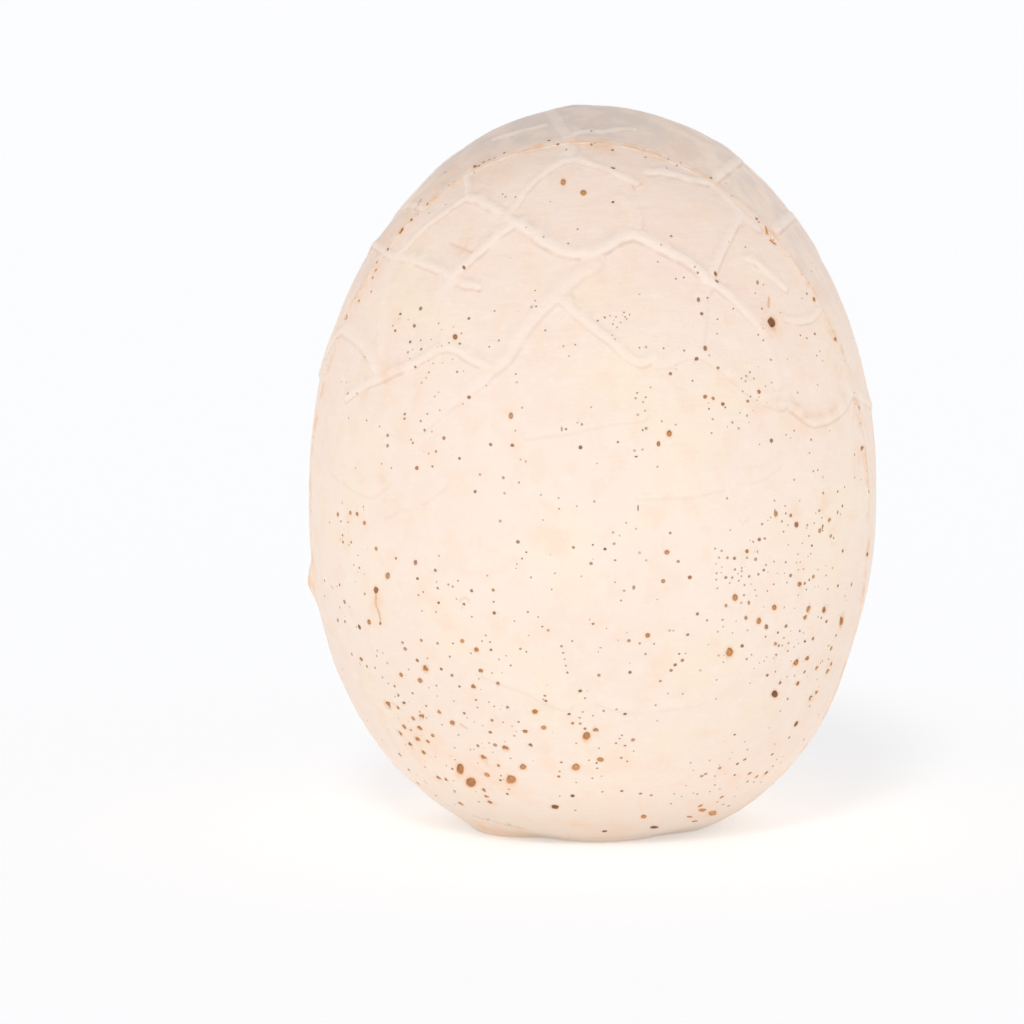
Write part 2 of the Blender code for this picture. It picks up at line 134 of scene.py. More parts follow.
# Veins on the front, named for where they run. Each has its kind and its bends (across, up) in mm.
FRONT_VEINS = {
    "left_shoulder_to_seam": ("slim", [
        (-23.3, 117), (-26.5, 114.8), (-30.5, 112), (-33, 109.8), (-34.8, 107.6), (-37, 105.9),
    ]),
    "left_crown_to_seam": ("slim", [(-23.3, 117), (-23.2, 119), (-23.6, 120.8), (-22.3, 122.5)]),
    "left_shoulder": ("strong", [
        (-23.3, 117), (-21, 116.3), (-18.5, 114.9), (-16.3, 113.4), (-14.8, 112.2),
    ]),
    "crown_left": ("slim", [
        (-15.8, 113.8), (-14.3, 115.6), (-12.8, 118), (-10.8, 120), (-8.5, 121.9), (-5.5, 123.7),
    ]),
    "crown_right": ("slim", [(-5.5, 123.7), (-3, 124), (0, 123), (3, 121.8), (5.5, 120.7), (8, 119.6)]),
    "crown_to_seam": ("soft", [(-5.2, 124), (-4.2, 126), (-4.6, 128), (-6, 129.8), (-8, 132.8)]),
    "crown_back": ("slim", [(-4.6, 128.1), (-3, 128.9), (-1, 129.2), (2, 129.1), (5, 129.6), (7.5, 129.6)]),
    "crown_thread": ("slim", [(-9, 130.4), (-12, 129.6), (-15, 128.7), (-18.5, 127.6)]),
    "brow": ("bold", [
        (-14.8, 112.2), (-13.5, 111.8), (-11, 110), (-8.5, 108.3), (-6, 107), (-3.5, 106.4), (-0.5, 106.4),
        (2, 107.4), (4.5, 108.9), (7.3, 110),
    ]),
    "left_brow": ("strong", [
        (-14.8, 112), (-17, 110.3), (-19, 108.7), (-21.5, 106.4), (-24, 104.2), (-26.2, 102.2),
    ]),
    "left_cheek_upper": ("plain", [
        (-26.2, 102.2), (-28.5, 103.4), (-31, 104.4), (-33.5, 105.3), (-37, 105.9),
    ]),
    "left_over_edge": ("slim", [(-37, 105.9), (-38.7, 106.5), (-41, 108.3)]),
    "left_crown_edge": ("slim", [(-31.8, 114.8), (-33.3, 115.5), (-35.3, 115.4)]),
    "left_spur": ("plain", [(-25.8, 101.8), (-24, 100.8), (-21.6, 100.3)]),
    "left_cheek_inner": ("soft", [(-26.4, 101.8), (-27.3, 99.5), (-27.6, 95), (-27.4, 89.5)]),
    "left_cheek_outer": ("soft", [
        (-37, 105.9), (-38, 103), (-38.6, 100), (-39.2, 94), (-39.5, 88), (-39.2, 84),
    ]),
    "left_edge": ("soft", [
        (-46.3, 92.3), (-44.5, 91), (-42.7, 89.4), (-41.3, 87.2), (-40.8, 85.5), (-39.2, 84),
    ]),
    "left_belt": ("plain", [
        (-46, 79.5), (-44, 80.9), (-41.5, 82.4), (-39, 83.3), (-36.5, 84.7), (-33.5, 85.8), (-31.5, 87.1),
        (-29.5, 88.5), (-27, 89),
    ]),
    "left_belt_inner": ("plain", [(-27, 89), (-25, 88.4), (-23, 87), (-21, 86), (-18.5, 85)]),
    "diagonal_top": ("soft", [(0.5, 104.3), (-2.5, 102.8), (-5, 100.7), (-7, 98.5)]),
    "diagonal": ("soft", [
        (-7, 98.5), (-9, 96.8), (-11, 94.8), (-12.8, 92.5), (-14.7, 89.6), (-16.2, 87), (-18.5, 85),
    ]),
    "diagonal_low": ("faint", [(-18.5, 85), (-20.5, 83), (-23, 81), (-26, 79), (-29, 76.6), (-32, 74)]),
    "middle": ("plain", [
        (-7, 98.5), (-5.2, 97.4), (-3, 95.2), (-1, 93.6), (1, 92), (3.5, 90.2), (5.5, 88.3), (7.2, 86.7),
        (9, 86), (11.4, 86.9),
    ]),
    "middle_right": ("faint", [(12.2, 86), (14, 86.3), (16.5, 87.6), (19.5, 88.5)]),
    "crown_drop": ("soft", [(7.5, 110.3), (7.8, 113), (7.3, 115.3), (5, 116.6)]),
    "right_crown": ("strong", [
        (10.3, 121.6), (12.5, 121.7), (15, 121.2), (17.5, 120.4), (19.5, 119.9), (21.8, 119.7),
    ]),
    "right_crown_to_seam": ("strong", [(21.8, 119.7), (23.5, 121.2), (25.5, 122.6), (27.6, 124)]),
    "right_shoulder": ("plain", [(21.8, 119.7), (23.8, 117.9), (25.6, 116.1), (27.5, 114.1)]),
    "right_shoulder_to_seam": ("soft", [(27.5, 114.1), (29, 112.8), (30.5, 111.3)]),
    "right_temple": ("plain", [
        (27.5, 114.1), (26.2, 111.6), (25, 109.2), (23.8, 106.8), (22.8, 104.4), (21.5, 101.6),
    ]),
    "right_brow": ("bold", [
        (7.3, 110), (9.5, 109.2), (12, 107.8), (14.5, 106.6), (17, 105.3), (19.5, 103.6), (21.5, 101.6),
    ]),
    "right_seam_spur": ("strong", [(33.8, 110.8), (35.2, 112), (37.3, 113.8)]),
    "right_cheek": ("strong", [
        (21.5, 101.6), (23.5, 100.2), (26, 98.2), (28, 96.2), (30, 94.2), (31.8, 92.2),
    ]),
    "right_cheek_low": ("faint", [(31.8, 92.2), (33, 89.5), (33.3, 87), (34, 84.5), (34.3, 82)]),
    "right_cheek_inner": ("faint", [(21.5, 101.6), (20.2, 98), (20, 94), (19.6, 91), (19.5, 88.5)]),
    "right_temple_swell": ("plain", [(29, 105.6), (31.3, 104.2), (33.3, 102.4), (35.8, 100)]),
    "right_edge_spur": ("slim", [(36, 94.3), (38.5, 93.9), (40.5, 94.2), (42.3, 96)]),
    "right_belt": ("faint", [(19.5, 88.5), (22, 87), (24.5, 85.3), (28, 82.4), (31, 79.9), (34.3, 78.4)]),
    "right_belt_outer": ("plain", [
        (34.3, 78.4), (37.5, 77.7), (39.5, 75.8), (41.3, 74.9), (43.5, 75.4), (45.7, 76.7), (47.2, 78.3),
        (48.2, 80.5),
    ]),
    "waist": ("faint", [(-12, 72.9), (-9, 73.4), (-5.5, 73.8), (0, 75), (4, 75.8), (9, 76.3)]),
    "waist_right": ("faint", [(9, 61.8), (14, 61.9), (20, 62.4), (25.5, 63.6), (27, 60.5), (28.3, 57)]),
    "waist_right_outer": ("faint", [(20, 64.9), (25, 65), (30.5, 65), (34, 67)]),
    "waist_left": ("faint", [(-39, 57.7), (-36, 59.7), (-33.3, 60), (-31, 61.5), (-28, 63.5)]),
    "flank_left": ("faint", [(-33.3, 60), (-32.2, 56), (-31, 51.5), (-29.8, 48)]),
    "waist_left_outer": ("faint", [(-48.5, 66.3), (-46.5, 64.5), (-45, 63.5), (-41.5, 62), (-38.5, 64)]),
    "hem_left": ("faint", [(-21, 28.5), (-15, 26.3), (-11.5, 25), (-9.5, 23.8), (-5, 22)]),
    "hem_right": ("faint", [(1.5, 23), (8, 21.5), (12, 22), (20, 23)]),
    "flank_right": ("faint", [(42, 63.5), (43, 60.5), (44.7, 57), (45.2, 53.5)]),
}

# Veins on the hidden side, which carry on the same kind of net from seam to seam. Their bends are
# (azimuth in degrees, height in mm). Azimuth starts at the front and grows to the right.
HIDDEN_VEINS = {
    "belt_right_end": ("plain", [(68.6, 83.5), (84, 80), (100, 78)]),
    "belt_right": ("strong", [(100, 78), (112, 84), (124, 93)]),
    "belt_right_middle": ("strong", [(124, 93), (136, 83), (150, 76)]),
    "belt_middle": ("strong", [(150, 76), (158, 84), (166, 88)]),
    "belt_middle_left": ("strong", [(166, 88), (184, 87), (200, 82)]),
    "belt_left_middle": ("strong", [(200, 82), (209, 89), (219, 95)]),
    "belt_left": ("strong", [(219, 95), (230, 85), (243, 79)]),
    "belt_left_outer": ("strong", [(243, 79), (257, 84), (270, 85)]),
    "belt_left_end": ("plain", [(270, 85), (278, 91), (286.6, 94.9)]),
    "brow_right_end": ("strong", [(92.4, 114.7), (96, 110), (101, 104)]),
    "brow_right": ("strong", [(101, 104), (117, 106), (134, 111)]),
    "brow_right_middle": ("strong", [(134, 111), (148, 105), (161, 103)]),
    "brow_middle": ("strong", [(166, 88), (175, 96), (182, 104), (194, 111)]),
    "brow_left_middle": ("strong", [(194, 111), (208, 108), (223, 103)]),
    "brow_left": ("strong", [(223, 103), (239, 108), (254, 109)]),
    "brow_left_end": ("plain", [(254, 109), (263, 108), (271.5, 109.4)]),
    "right_post": ("strong", [(124, 93), (111, 98), (101, 104)]),
    "middle_post": ("strong", [(161, 103), (165, 96), (166, 88)]),
    "left_post": ("strong", [(219, 95), (221, 99), (223, 103)]),
    "left_outer_post": ("plain", [(270, 85), (261, 96), (254, 109)]),
    "right_crown_post": ("strong", [(134, 111), (140, 118), (152, 124)]),
    "right_outer_crown_post": ("plain", [(101, 104), (99, 112), (92, 120), (86, 125)]),
    "middle_crown_post": ("strong", [(194, 111), (201, 116), (208, 121)]),
    "left_crown_post": ("strong", [(254, 109), (262, 117), (268, 123)]),
    "crown_right": ("strong", [(86, 125), (120, 128), (152, 124)]),
    "crown_middle": ("strong", [(152, 124), (180, 126), (208, 121)]),
    "crown_left": ("strong", [(208, 121), (240, 126), (268, 123)]),
    "crown_left_end": ("plain", [(268, 123), (274, 120), (279, 116.8)]),
    "over_the_top": ("plain", [(152, 124), (163, 131), (200, 134.5), (283, 134.2)]),
    "hem_right": ("plain", [(100, 78), (96, 70), (104, 61)]),
    "hem_right_middle": ("plain", [(150, 76), (155, 67), (147, 58)]),
    "hem_left_middle": ("plain", [(200, 82), (203, 73), (195, 65)]),
    "hem_left": ("plain", [(243, 79), (247, 70), (239, 61)]),
    "waist_back": ("faint", [(118, 62), (128, 59), (137, 60)]),
    "waist_back_left": ("faint", [(214, 55), (224, 52), (236, 54)]),
    "hem_back": ("faint", [(160, 34), (172, 31), (186, 33)]),
}

# Bubble pits placed on the front. The larger ones are (across, up, width) where they are round
# on the shell, or (across, up, width, height) where they are ovals to the eye, in mm.
FRONT_PITS = {
    "lower_left": [
        (-24.8, 9.7, 1.3, 2.1), (-22.7, 7.4, 1.85, 1.75), (-15.2, 7.8, 1.7, 1.6), (-20.4, 11.9, 1.2),
        (-19.7, 8.8, 1.1), (-16.3, 13.8, 1.15), (-13, 10.2, 1.2, 0.95), (-31.3, 28.6, 1.2),
        (-32.3, 26.4, 1), (-38.3, 21.8, 1.6), (-36.4, 21.4, 0.9), (-35.8, 27.5, 0.9), (-35.3, 22.2, 0.8),
        (-32.8, 30.2, 0.8), (-32, 19.7, 1.1), (-33.6, 19.3, 1.1), (-35.2, 17.8, 1), (-32.4, 17.4, 1.1),
        (-36, 16.6, 1.2), (-32.8, 15.4, 1.2), (-29.9, 16.1, 0.9), (-30.8, 15, 0.9), (-34.1, 14.4, 1),
        (-31.6, 13, 1), (-36, 12.6, 0.9), (-26.3, 18.4, 1), (-28.7, 20.4, 0.9), (-22.3, 25.2, 0.9),
        (-20.9, 28.3, 0.9), (-24.4, 33.8, 0.85), (-21.8, 32.1, 1), (-35.1, 32.3, 0.8), (-18.2, 14.4, 0.8),
        (-12.6, 17, 0.9), (-28.7, 8.1, 1.2), (-27.3, 7.9, 0.8), (-32.6, 7.2, 1), (-20.3, 5.9, 0.8),
        (-19.8, 4.8, 0.9), (-19.2, 3.7, 0.9), (-24.6, 3.4, 1.2), (-43.4, 30.3, 0.9), (-43.6, 29.4, 0.8),
    ],
    "left": [
        (-47.7, 57.5, 0.9), (-45.4, 57.8, 0.9), (-44.1, 57.6, 0.9), (-42.7, 55.9, 0.9), (-40.5, 51.1, 0.85),
        (-33.2, 48.5, 0.65, 0.9), (-38.4, 46, 0.8, 1.15), (-40.7, 43.3, 0.8, 1.3), (-46.5, 41.1, 0.9),
        (-41.9, 37.3, 1.1), (-43.7, 36.4, 1), (-32.2, 96, 0.8), (-33.4, 92.8, 0.8), (-25.8, 90.8, 0.8, 1),
        (-32.9, 66.2, 0.8),
    ],
    "middle": [
        (-10.8, 20.6, 1), (-9.1, 17.7, 1), (-11.6, 14.3, 0.8), (-1.1, 16, 1.3, 1.6), (0.6, 17.2, 1),
        (1.5, 11.7, 1.2, 0.9), (-3.1, 10.1, 1.5, 1.15), (-3.7, 4.9, 0.8, 0.55), (-7, 2.8, 1.4, 0.8),
        (9.6, 1.1, 1, 0.8), (2.3, -1.7, 1, 0.4), (11.6, -1.1, 1.6, 0.5), (10.3, 35, 0.9), (13.2, 45.1, 0.8),
        (13.9, 50.5, 0.95), (7.7, 43.9, 0.55, 0.8), (-15.3, 76, 0.8, 1.15), (14.3, 72.7, 0.9, 1.2),
        (12.3, 70.8, 0.7, 0.95), (-5.8, 73.5, 0.4, 0.9), (8.5, 58.8, 0.3, 1.1), (-5.6, 119.7, 0.95, 1.2),
        (-1.8, 117.7, 1.1, 1), (3.7, 122.3, 0.8),
    ],
    "lower_right": [
        (25.7, 31.7, 1.25, 1.65), (28, 33, 0.8), (34.1, 24, 1.15, 1.25), (31.2, 37.6, 0.9, 1.2),
        (32.6, 36.5, 0.7, 0.9), (26.6, 42.1, 0.95, 1.25), (34, 40.2, 0.85, 1), (36.2, 36.7, 0.8),
        (40.4, 39.9, 1.2), (43.3, 39.8, 1.4), (39.8, 38.4, 1), (46.6, 37.5, 1.8), (38.1, 29.9, 1.2),
        (40.2, 30.7, 1), (42, 28.8, 1), (44.8, 29.5, 1), (44.1, 28.1, 1), (38.4, 26, 1), (41.9, 24.3, 0.9),
        (40.9, 23.2, 0.9), (38.2, 18.3, 1.2), (44.6, 32.6, 0.9), (41.2, 34.4, 0.8), (34.3, 57.7, 0.7, 1.1),
        (38.1, 55.7, 0.8, 1.05), (42.4, 54.6, 0.9), (43, 55.3, 0.8), (44.2, 56.6, 0.8), (45.8, 58, 0.8),
        (28.9, 50.7, 0.6, 0.8), (30.6, 50.5, 0.65, 0.85), (31.2, 52.9, 0.75), (38.8, 44.5, 0.95),
        (37, 46.2, 0.8), (41.2, 46, 0.8), (48.5, 44.5, 0.9), (28.7, 38.2, 0.6, 0.8), (29.2, 41.1, 0.5, 0.8),
        (30.7, 8.6, 0.9), (32.5, 9.2, 1.1), (29.4, 9.2, 0.9), (24.2, 4.7, 0.9), (20.2, 3.1, 1),
        (20.6, 2.2, 1.5, 0.7), (22.5, 1.6, 1.5, 0.9), (19.2, 0.1, 1.2, 0.4), (18.2, 0.9, 1, 0.4),
        (51.2, 50.2, 1),
    ],
    "upper_right": [
        (33.5, 93.6, 1.35, 1.95), (20.3, 95.1, 0.75), (19.7, 97.7, 0.6, 0.85), (23.1, 101.1, 0.8),
        (21, 88.7, 0.7, 1), (19.4, 86.7, 0.8), (21, 79.6, 0.8), (31, 80.5, 0.8), (33.4, 71.4, 0.6, 0.8),
        (30.8, 101, 0.5, 0.8),
    ],
}
# The smaller ones on the front, by their width in mm: (across, up).
SMALL_PITS = {
    0.7: [
        (-34, 17.1), (-28.3, 28.6), (-17.7, 25.9), (-18.8, 19), (-19.1, 16.8), (-17.6, 10.5), (-15.9, 5.3),
        (-34.3, 9.6), (-42.2, 29.1), (-45.9, 56.2), (-29.4, 47.1), (-47.4, 44.3), (-18.4, 39.1),
        (-47.7, 37.7), (-46.4, 37.4), (-35.6, 33.5), (-19.1, 70.6), (-15.1, 70.5), (-27.8, 71.8),
        (-38.4, 72.3), (-2.3, 24.5), (-4.4, 20.1), (7.6, 15.3), (15.5, 29.4), (1.2, 27.5), (1.5, 32.5),
        (6.8, 34), (18.2, 45.8), (-0.3, 48.4), (-14, 52.4), (37.1, 57.4), (30.5, 49.2), (26.5, 49.4),
        (24.9, 45.8), (39.7, 44.7), (40.5, 45.4), (44.4, 53.6), (45.8, 44.3), (43.8, 37.6), (34.3, 33.3),
        (45.5, 35), (39.7, 28.1), (25.5, 3.1), (33.6, 12.8), (39.6, 15.5), (27.1, 11), (28.5, 11.7),
        (23.8, 10.2), (20.5, 8.6), (21.2, 9.1), (22.9, 102.6), (23.4, 85), (22.5, 79.3), (24.4, 78.3),
        (29, 78.8), (46.7, 50.8), (14.5, 83.9), (-2.3, 70.1), (-23.1, 79.4), (-38.5, 70.4),
    ],
    0.6: [
        (-36.4, 23.7), (-37, 25.4), (-26.3, 27.4), (-24.9, 25.3), (-24, 20.3), (-15.9, 21.4), (-21.5, 14.1),
        (-26.2, 9.9), (-17.2, 7.8), (-25.8, 5.8), (-21.8, 5.7), (-29.3, 4.9), (-36, 95), (-37, 91.9),
        (-34.3, 89.9), (-32.2, 88.5), (-23.2, 94.2), (-46.9, 53.5), (-47.2, 52.7), (-46.8, 52.3),
        (-45.2, 52.3), (-36.8, 49.3), (-43.7, 47.5), (-32.8, 45.5), (-29, 43.7), (-31.8, 43), (-42.7, 42.6),
        (-50.2, 45.1), (-50.1, 42.2), (-28.8, 41), (-24.1, 40.7), (-22.7, 43.2), (-18.6, 43.4),
        (-32.1, 33.9), (-29, 33.4), (-19, 32.2), (-39.9, 37), (-45.1, 31.3), (-22, 61.8), (-24.9, 68),
        (-35.2, 76.3), (-35.3, 75.5), (-45.7, 80.1), (-8.7, 22.7), (-3.7, 18.5), (-1.4, 17.5), (-0.7, 11.6),
        (0.9, 11), (-5.8, 11.2), (-6.3, 8.5), (6.1, 20.2), (5.5, 5.8), (9, 5.4), (11, 5.1), (7, 28.1),
        (12.7, 26.4), (14.7, 28.4), (17.8, 35.1), (16.8, 30.3), (16, 48.8), (2.3, 51.1), (-3.6, 51.4),
        (-13.5, 32.4), (42.4, 58.3), (43, 61.6), (46.4, 57.7), (46.7, 59.2), (45.8, 61.9), (40.9, 51.8),
        (32.2, 53.1), (24.1, 50.8), (25.2, 49.5), (29.3, 46), (32, 47.2), (47.3, 42.4), (25, 40.5),
        (19.6, 39), (34.7, 35.5), (34.9, 33), (39.7, 33.9), (34.4, 31.2), (29.7, 31.2), (35.1, 26.1),
        (32.7, 27.5), (36.5, 23.1), (36.8, 15.9), (33.8, 10.5), (26.6, 16.4), (26.6, 8.9), (29, 7.7),
        (24.5, 3.3), (3.7, 115.9), (9.8, 124.4), (41.5, 91.4), (-24, 103.5), (14.6, 109.6), (8.1, 68.5),
        (10, 73.7),
    ],
    0.5: [
        (-40.7, 28.8), (-38.4, 29.7), (-39.4, 26.9), (-33.7, 24), (-34.4, 28.5), (-26.7, 30.9),
        (-29.2, 25.5), (-32.3, 20.6), (-31.1, 21.7), (-21.8, 22.8), (-25.1, 16.2), (-13.8, 18.8),
        (-14.6, 16.2), (-15.6, 6.2), (-21.2, 3.8), (-46.9, 59.7), (-47.1, 56.2), (-49.3, 56), (-27, 44.4),
        (-26.2, 44), (-32.6, 42.4), (-29.3, 39.3), (-26.1, 33.4), (-19.2, 33.6), (-40.3, 32), (-40.4, 31),
        (-17.3, 56.3), (-16.5, 61.5), (-16.7, 64.4), (-34.7, 87.9), (-24.9, 89.5), (-33.2, 85.1),
        (-31.3, 83.1), (-32.1, 82.2), (-44, 80.1), (-34, 71.5), (-33.7, 70.9), (-31.5, 73.3), (-29.3, 69.3),
        (-30, 66.5), (-21.1, 65), (-14.2, 82.3), (-13.2, 77.5), (-17.6, 90.1), (-11.5, 96.4), (-12.6, 67.4),
        (-8.9, 23.7), (-1.8, 20.6), (-2.4, 19.5), (-2.3, 18.4), (0.9, 10), (-3.2, 2.2), (2.1, 20.8),
        (4.5, 21.2), (4.4, 14.8), (6.1, 14.3), (5.4, 12), (6.5, 11.4), (1.9, 5.6), (14.7, 3.5),
        (-5.8, 32.9), (-5.5, 31.7), (-4.7, 27.9), (0.1, 37.1), (-8.3, 35.9), (9.9, 31.5), (8.8, 33.5),
        (14.4, 35.9), (16.2, 31.5), (5.3, 41.5), (5.9, 43.3), (8.8, 50.4), (4.2, 49), (4, 52.1),
        (3.8, 54.2), (4.9, 53.6), (14.5, 54.1), (-14.1, 48.3), (-11.5, 45.8), (-6.4, 60.6), (0.3, 60),
        (34, 60.2), (35.4, 56.3), (31.7, 55.8), (40.1, 55.6), (45, 53.2), (40.4, 53.6), (30.1, 52.5),
        (28.9, 49.5), (23.6, 49.5), (26.6, 47.3), (27.9, 47), (26.1, 45.8), (31, 46.4), (27.3, 45.2),
        (28.4, 44.4), (36.1, 48.7), (42.1, 47.3), (36.3, 44.9), (44.8, 47.6), (43.9, 43.7), (28.3, 42.5),
        (35.8, 40.2), (42.7, 38.3), (39.1, 36.7), (38.8, 35.8), (24.3, 37.9), (21.4, 37.8), (32.4, 34.7),
        (35.8, 34.5), (36.7, 33.5), (36.6, 32), (28.9, 30.5), (23.6, 31.2), (20.2, 28.4), (44.1, 30.6),
        (40.6, 21.8), (35.2, 11.3), (22.9, 7), (23.8, 6.3), (19.6, 5.3), (23.4, 3.8), (30.2, 7.6),
        (21.4, 98.1), (19.5, 102.6), (31.6, 96.1), (28.9, 76.1), (26.1, 74.8), (27.3, 73.7), (22.4, 75.4),
        (28.7, 83.5), (38.3, 80.4), (40.9, 71.6), (38.8, 91.1), (41.8, 87.3), (33.2, 86.5), (49, 64.5),
        (37.7, 64.1), (41.3, 65.7), (42.1, 65.9), (49, 68.8), (9.9, 88.8), (9.4, 78.6), (8, 79.3),
        (8.4, 76.2), (4.7, 71.1), (7.8, 69.5), (-2.1, 74.4), (-5, 73.5), (-25.4, 84.2),
    ],
    0.4: [
        (-38.2, 25.9), (-30.6, 25.1), (-17.5, 30.4), (-15.3, 29.3), (-19.4, 22.4), (-18.4, 21.6),
        (-28.2, 18.1), (-15, 18), (-25.8, 13.8), (-15.3, 11.9), (-17.1, 8.7), (-25.7, 11.6), (-22.3, 10.8),
        (-31.3, 10.3), (-28.7, 49.8), (-25.2, 45.1), (-29.2, 44.9), (-31.9, 39.5), (-25.5, 41.7),
        (-18.5, 41.2), (-19.7, 46.1), (-22.6, 38.4), (-20.7, 33.8), (-39.2, 31.6), (-36.3, 94.1),
        (-37.4, 92.8), (-34.3, 86.7), (-28.8, 93.2), (-26.8, 89.5), (-24.6, 91.4), (-42.3, 75.1),
        (-45.7, 75.5), (-47.1, 82.3), (-46.2, 82.3), (-39.5, 67), (-37.7, 66.2), (-44.4, 66.2),
        (-19.9, 81.6), (-32.2, 75), (-30.1, 73), (-31.5, 69.2), (-30.7, 68.9), (-28.6, 77), (-30.9, 76.3),
        (-24.3, 78.2), (-14.4, 83.8), (-19.4, 88.9), (-18.4, 95.6), (-10.8, 97.5), (-10.6, 96.4),
        (-8.9, 92), (-5.5, 89), (-3.3, 89.3), (-4.5, 87.2), (-13.5, 67.8), (-14.5, 73.2), (-2.9, 74.7),
        (-4.5, 73.8), (-0.3, 77.6), (4.5, 92.6), (5.8, 95.3), (6.3, 94.1), (2.2, 94.4), (4.1, 90.2),
        (0.9, 93.8), (6.8, 94.9), (3.6, 91), (8.7, 88.7), (13.2, 88.6), (8.7, 98.7), (8.3, 80.3),
        (9.9, 79.5), (10.8, 81.3), (9.8, 77), (9.3, 69.7), (0.8, 67.1), (12.1, 66.5), (12.9, 75),
        (-1.4, 23.2), (-3, 14.8), (1.2, 13.9), (5.1, 15.7), (5.5, 16.3), (14.1, 24.1), (16.9, 24),
        (11.8, 22), (12.1, 19), (17.5, 6.9), (16.7, 4.8), (-5.2, 30.5), (-5, 29.3), (-3.8, 33.9),
        (-14.6, 37.6), (-12.1, 39.3), (11.5, 33.4), (17.4, 31.6), (4.2, 44.9), (10, 49), (-2.1, 46),
        (6.3, 56), (8.1, 54.9), (-13.2, 49.3), (-9.3, 56.5), (-6.3, 58.6), (-9.7, 61.2), (-3, 59.1),
        (0.4, 59.4), (-13.8, 63.5), (25.1, 60.6), (36, 59.2), (38.7, 60.2), (36.1, 57.8), (33.3, 57),
        (32.8, 56.5), (36.5, 55.6), (41.4, 56), (47.1, 62.7), (39.2, 52.2), (40.3, 49.8), (40.7, 50.3),
        (29.5, 52.7), (22.9, 51.2), (24.2, 47.8), (27.2, 46.5), (25.6, 44.8), (23.1, 45.4), (34.6, 46.6),
        (33.9, 48.8), (38.1, 48.6), (39.4, 47.4), (43.7, 46.2), (30.4, 43.4), (30.6, 42.4), (23.3, 43.8),
        (42.1, 38.5), (39.4, 35.5), (23.4, 35.7), (24.4, 36.6), (29, 35.9), (24.5, 29.9), (32.2, 30.1),
        (43, 30.2), (36.4, 27.3), (34.2, 28.2), (42, 26.8), (42.4, 25.4), (33.1, 17.7), (34.1, 14.7),
        (22.9, 8.7), (21.9, 5.8), (18.9, 5.5), (18.9, 103.6), (12.6, 107.6), (12.1, 104.8), (31.9, 100.6),
        (30.4, 99), (35.1, 95.4), (31, 79.5), (25.1, 74), (22.2, 72.8), (27.6, 76.6), (28, 80.6),
        (30.1, 83), (28.5, 82.5), (36.2, 72.5), (37.7, 73.3), (40.7, 69.1), (31.2, 70.7), (40, 90.6),
        (42.4, 88.1), (23.3, 94.1), (28.5, 107.6), (41.1, 104.6), (40.9, 103.1), (43, 64.6), (45.9, 62),
        (32.4, 93.3), (31.4, 93), (31.7, 92.3), (32.9, 92.6), (-2.9, 111), (-16.4, 117), (-14.5, 117),
        (-9.2, 109.2), (21.7, 87.3),
    ],
}
# Pits along the mould seam: (across, up, width) in mm.
SEAM_PITS = [
    (-22, 122.5, 0.8), (-21.3, 122.7, 0.7), (-20.5, 123.4, 0.7), (-19.4, 123.9, 0.6), (-18.4, 124.2, 0.5),
    (-16.6, 125.1, 0.6), (-27.7, 121.6, 0.6), (-25.9, 119.7, 0.5), (-26.9, 119, 0.5), (-28, 118.4, 0.4),
    (-30.7, 114, 0.5), (-30.9, 115.5, 0.6), (-33.9, 112.5, 0.6), (-35.8, 110.5, 1.1), (-38.3, 107, 0.7),
    (-40.7, 106, 0.6), (-40.3, 104.6, 0.6), (-40.6, 103.2, 0.6), (-41.2, 101.8, 0.7), (-43.2, 100.2, 0.8),
    (-41.5, 99.2, 0.6), (-43.8, 97.5, 0.7), (-46, 94.3, 1), (-8.3, 127.6, 0.6), (-6.6, 126.7, 0.6),
    (-5, 125.6, 0.4), (-0.3, 129.1, 0.5), (-0.3, 126.6, 0.5), (3.6, 125.7, 0.6), (16.4, 123.3, 0.5),
    (21.9, 120.3, 0.6), (24.9, 119.5, 0.5), (25.8, 117, 0.5), (30.5, 112.8, 0.7), (40, 98.9, 0.6),
    (39.1, 98, 0.4), (41.3, 97.8, 0.9), (45.2, 90.3, 0.9), (49.8, 77.5, 1.1), (50.4, 70, 1), (51.5, 62, 1),
    (-15.2, 128.2, 0.4),
]
# Pits that hold dark dirt instead of orange stain: (across, up).
BLACK_PITS = [
    (33.5, 93.6), (34.1, 24), (-7, 2.8), (-3.7, 4.9), (2.3, -1.7), (11.6, -1.1), (-43.7, 36.4),
    (38.2, 18.3), (3.7, 115.9), (0.9, 11),
]
# Bubble pits on the hidden side: (azimuth in degrees, height, width in mm).
HIDDEN_PITS = [
    (122, 36, 1.6), (146, 14, 1.8), (171, 27, 1.5), (208, 11, 1.9), (233, 44, 1.5), (112, 22, 1.1),
    (131, 47, 0.9), (139, 31, 1.2), (154, 40, 0.9), (163, 18, 1.1), (182, 42, 1), (190, 17, 1.2),
    (199, 33, 0.9), (217, 26, 1.3), (226, 15, 1), (241, 29, 1.1), (252, 38, 0.9), (149, 66, 0.8),
    (187, 71, 0.9), (228, 69, 0.8), (135, 101, 0.8), (176, 116, 0.9), (237, 98, 0.8),
]
# Fine pits lie in drifts. On the front: (across, up, reach across, reach up, how many).
FRONT_DRIFTS = {
    "right_flank": (35, 42, 13, 19, 60),
    "lower_left": (-29, 19, 14, 13, 40),
    "lower_right_edge": (27, 7, 11, 9, 30),
    "left_edge": (-44, 45, 4, 14, 16),
    "lower_middle": (-8, 22, 18, 18, 20),
    "upper_left": (-30.5, 88, 7.5, 9.5, 14),
    "upper_right": (28, 82.5, 17, 14, 20),
    "middle": (0, 42, 20, 11, 12),
    "middle_tuft": (5.5, 94, 2.5, 2, 10),
    "crown": (0, 108, 28, 14, 6),
}
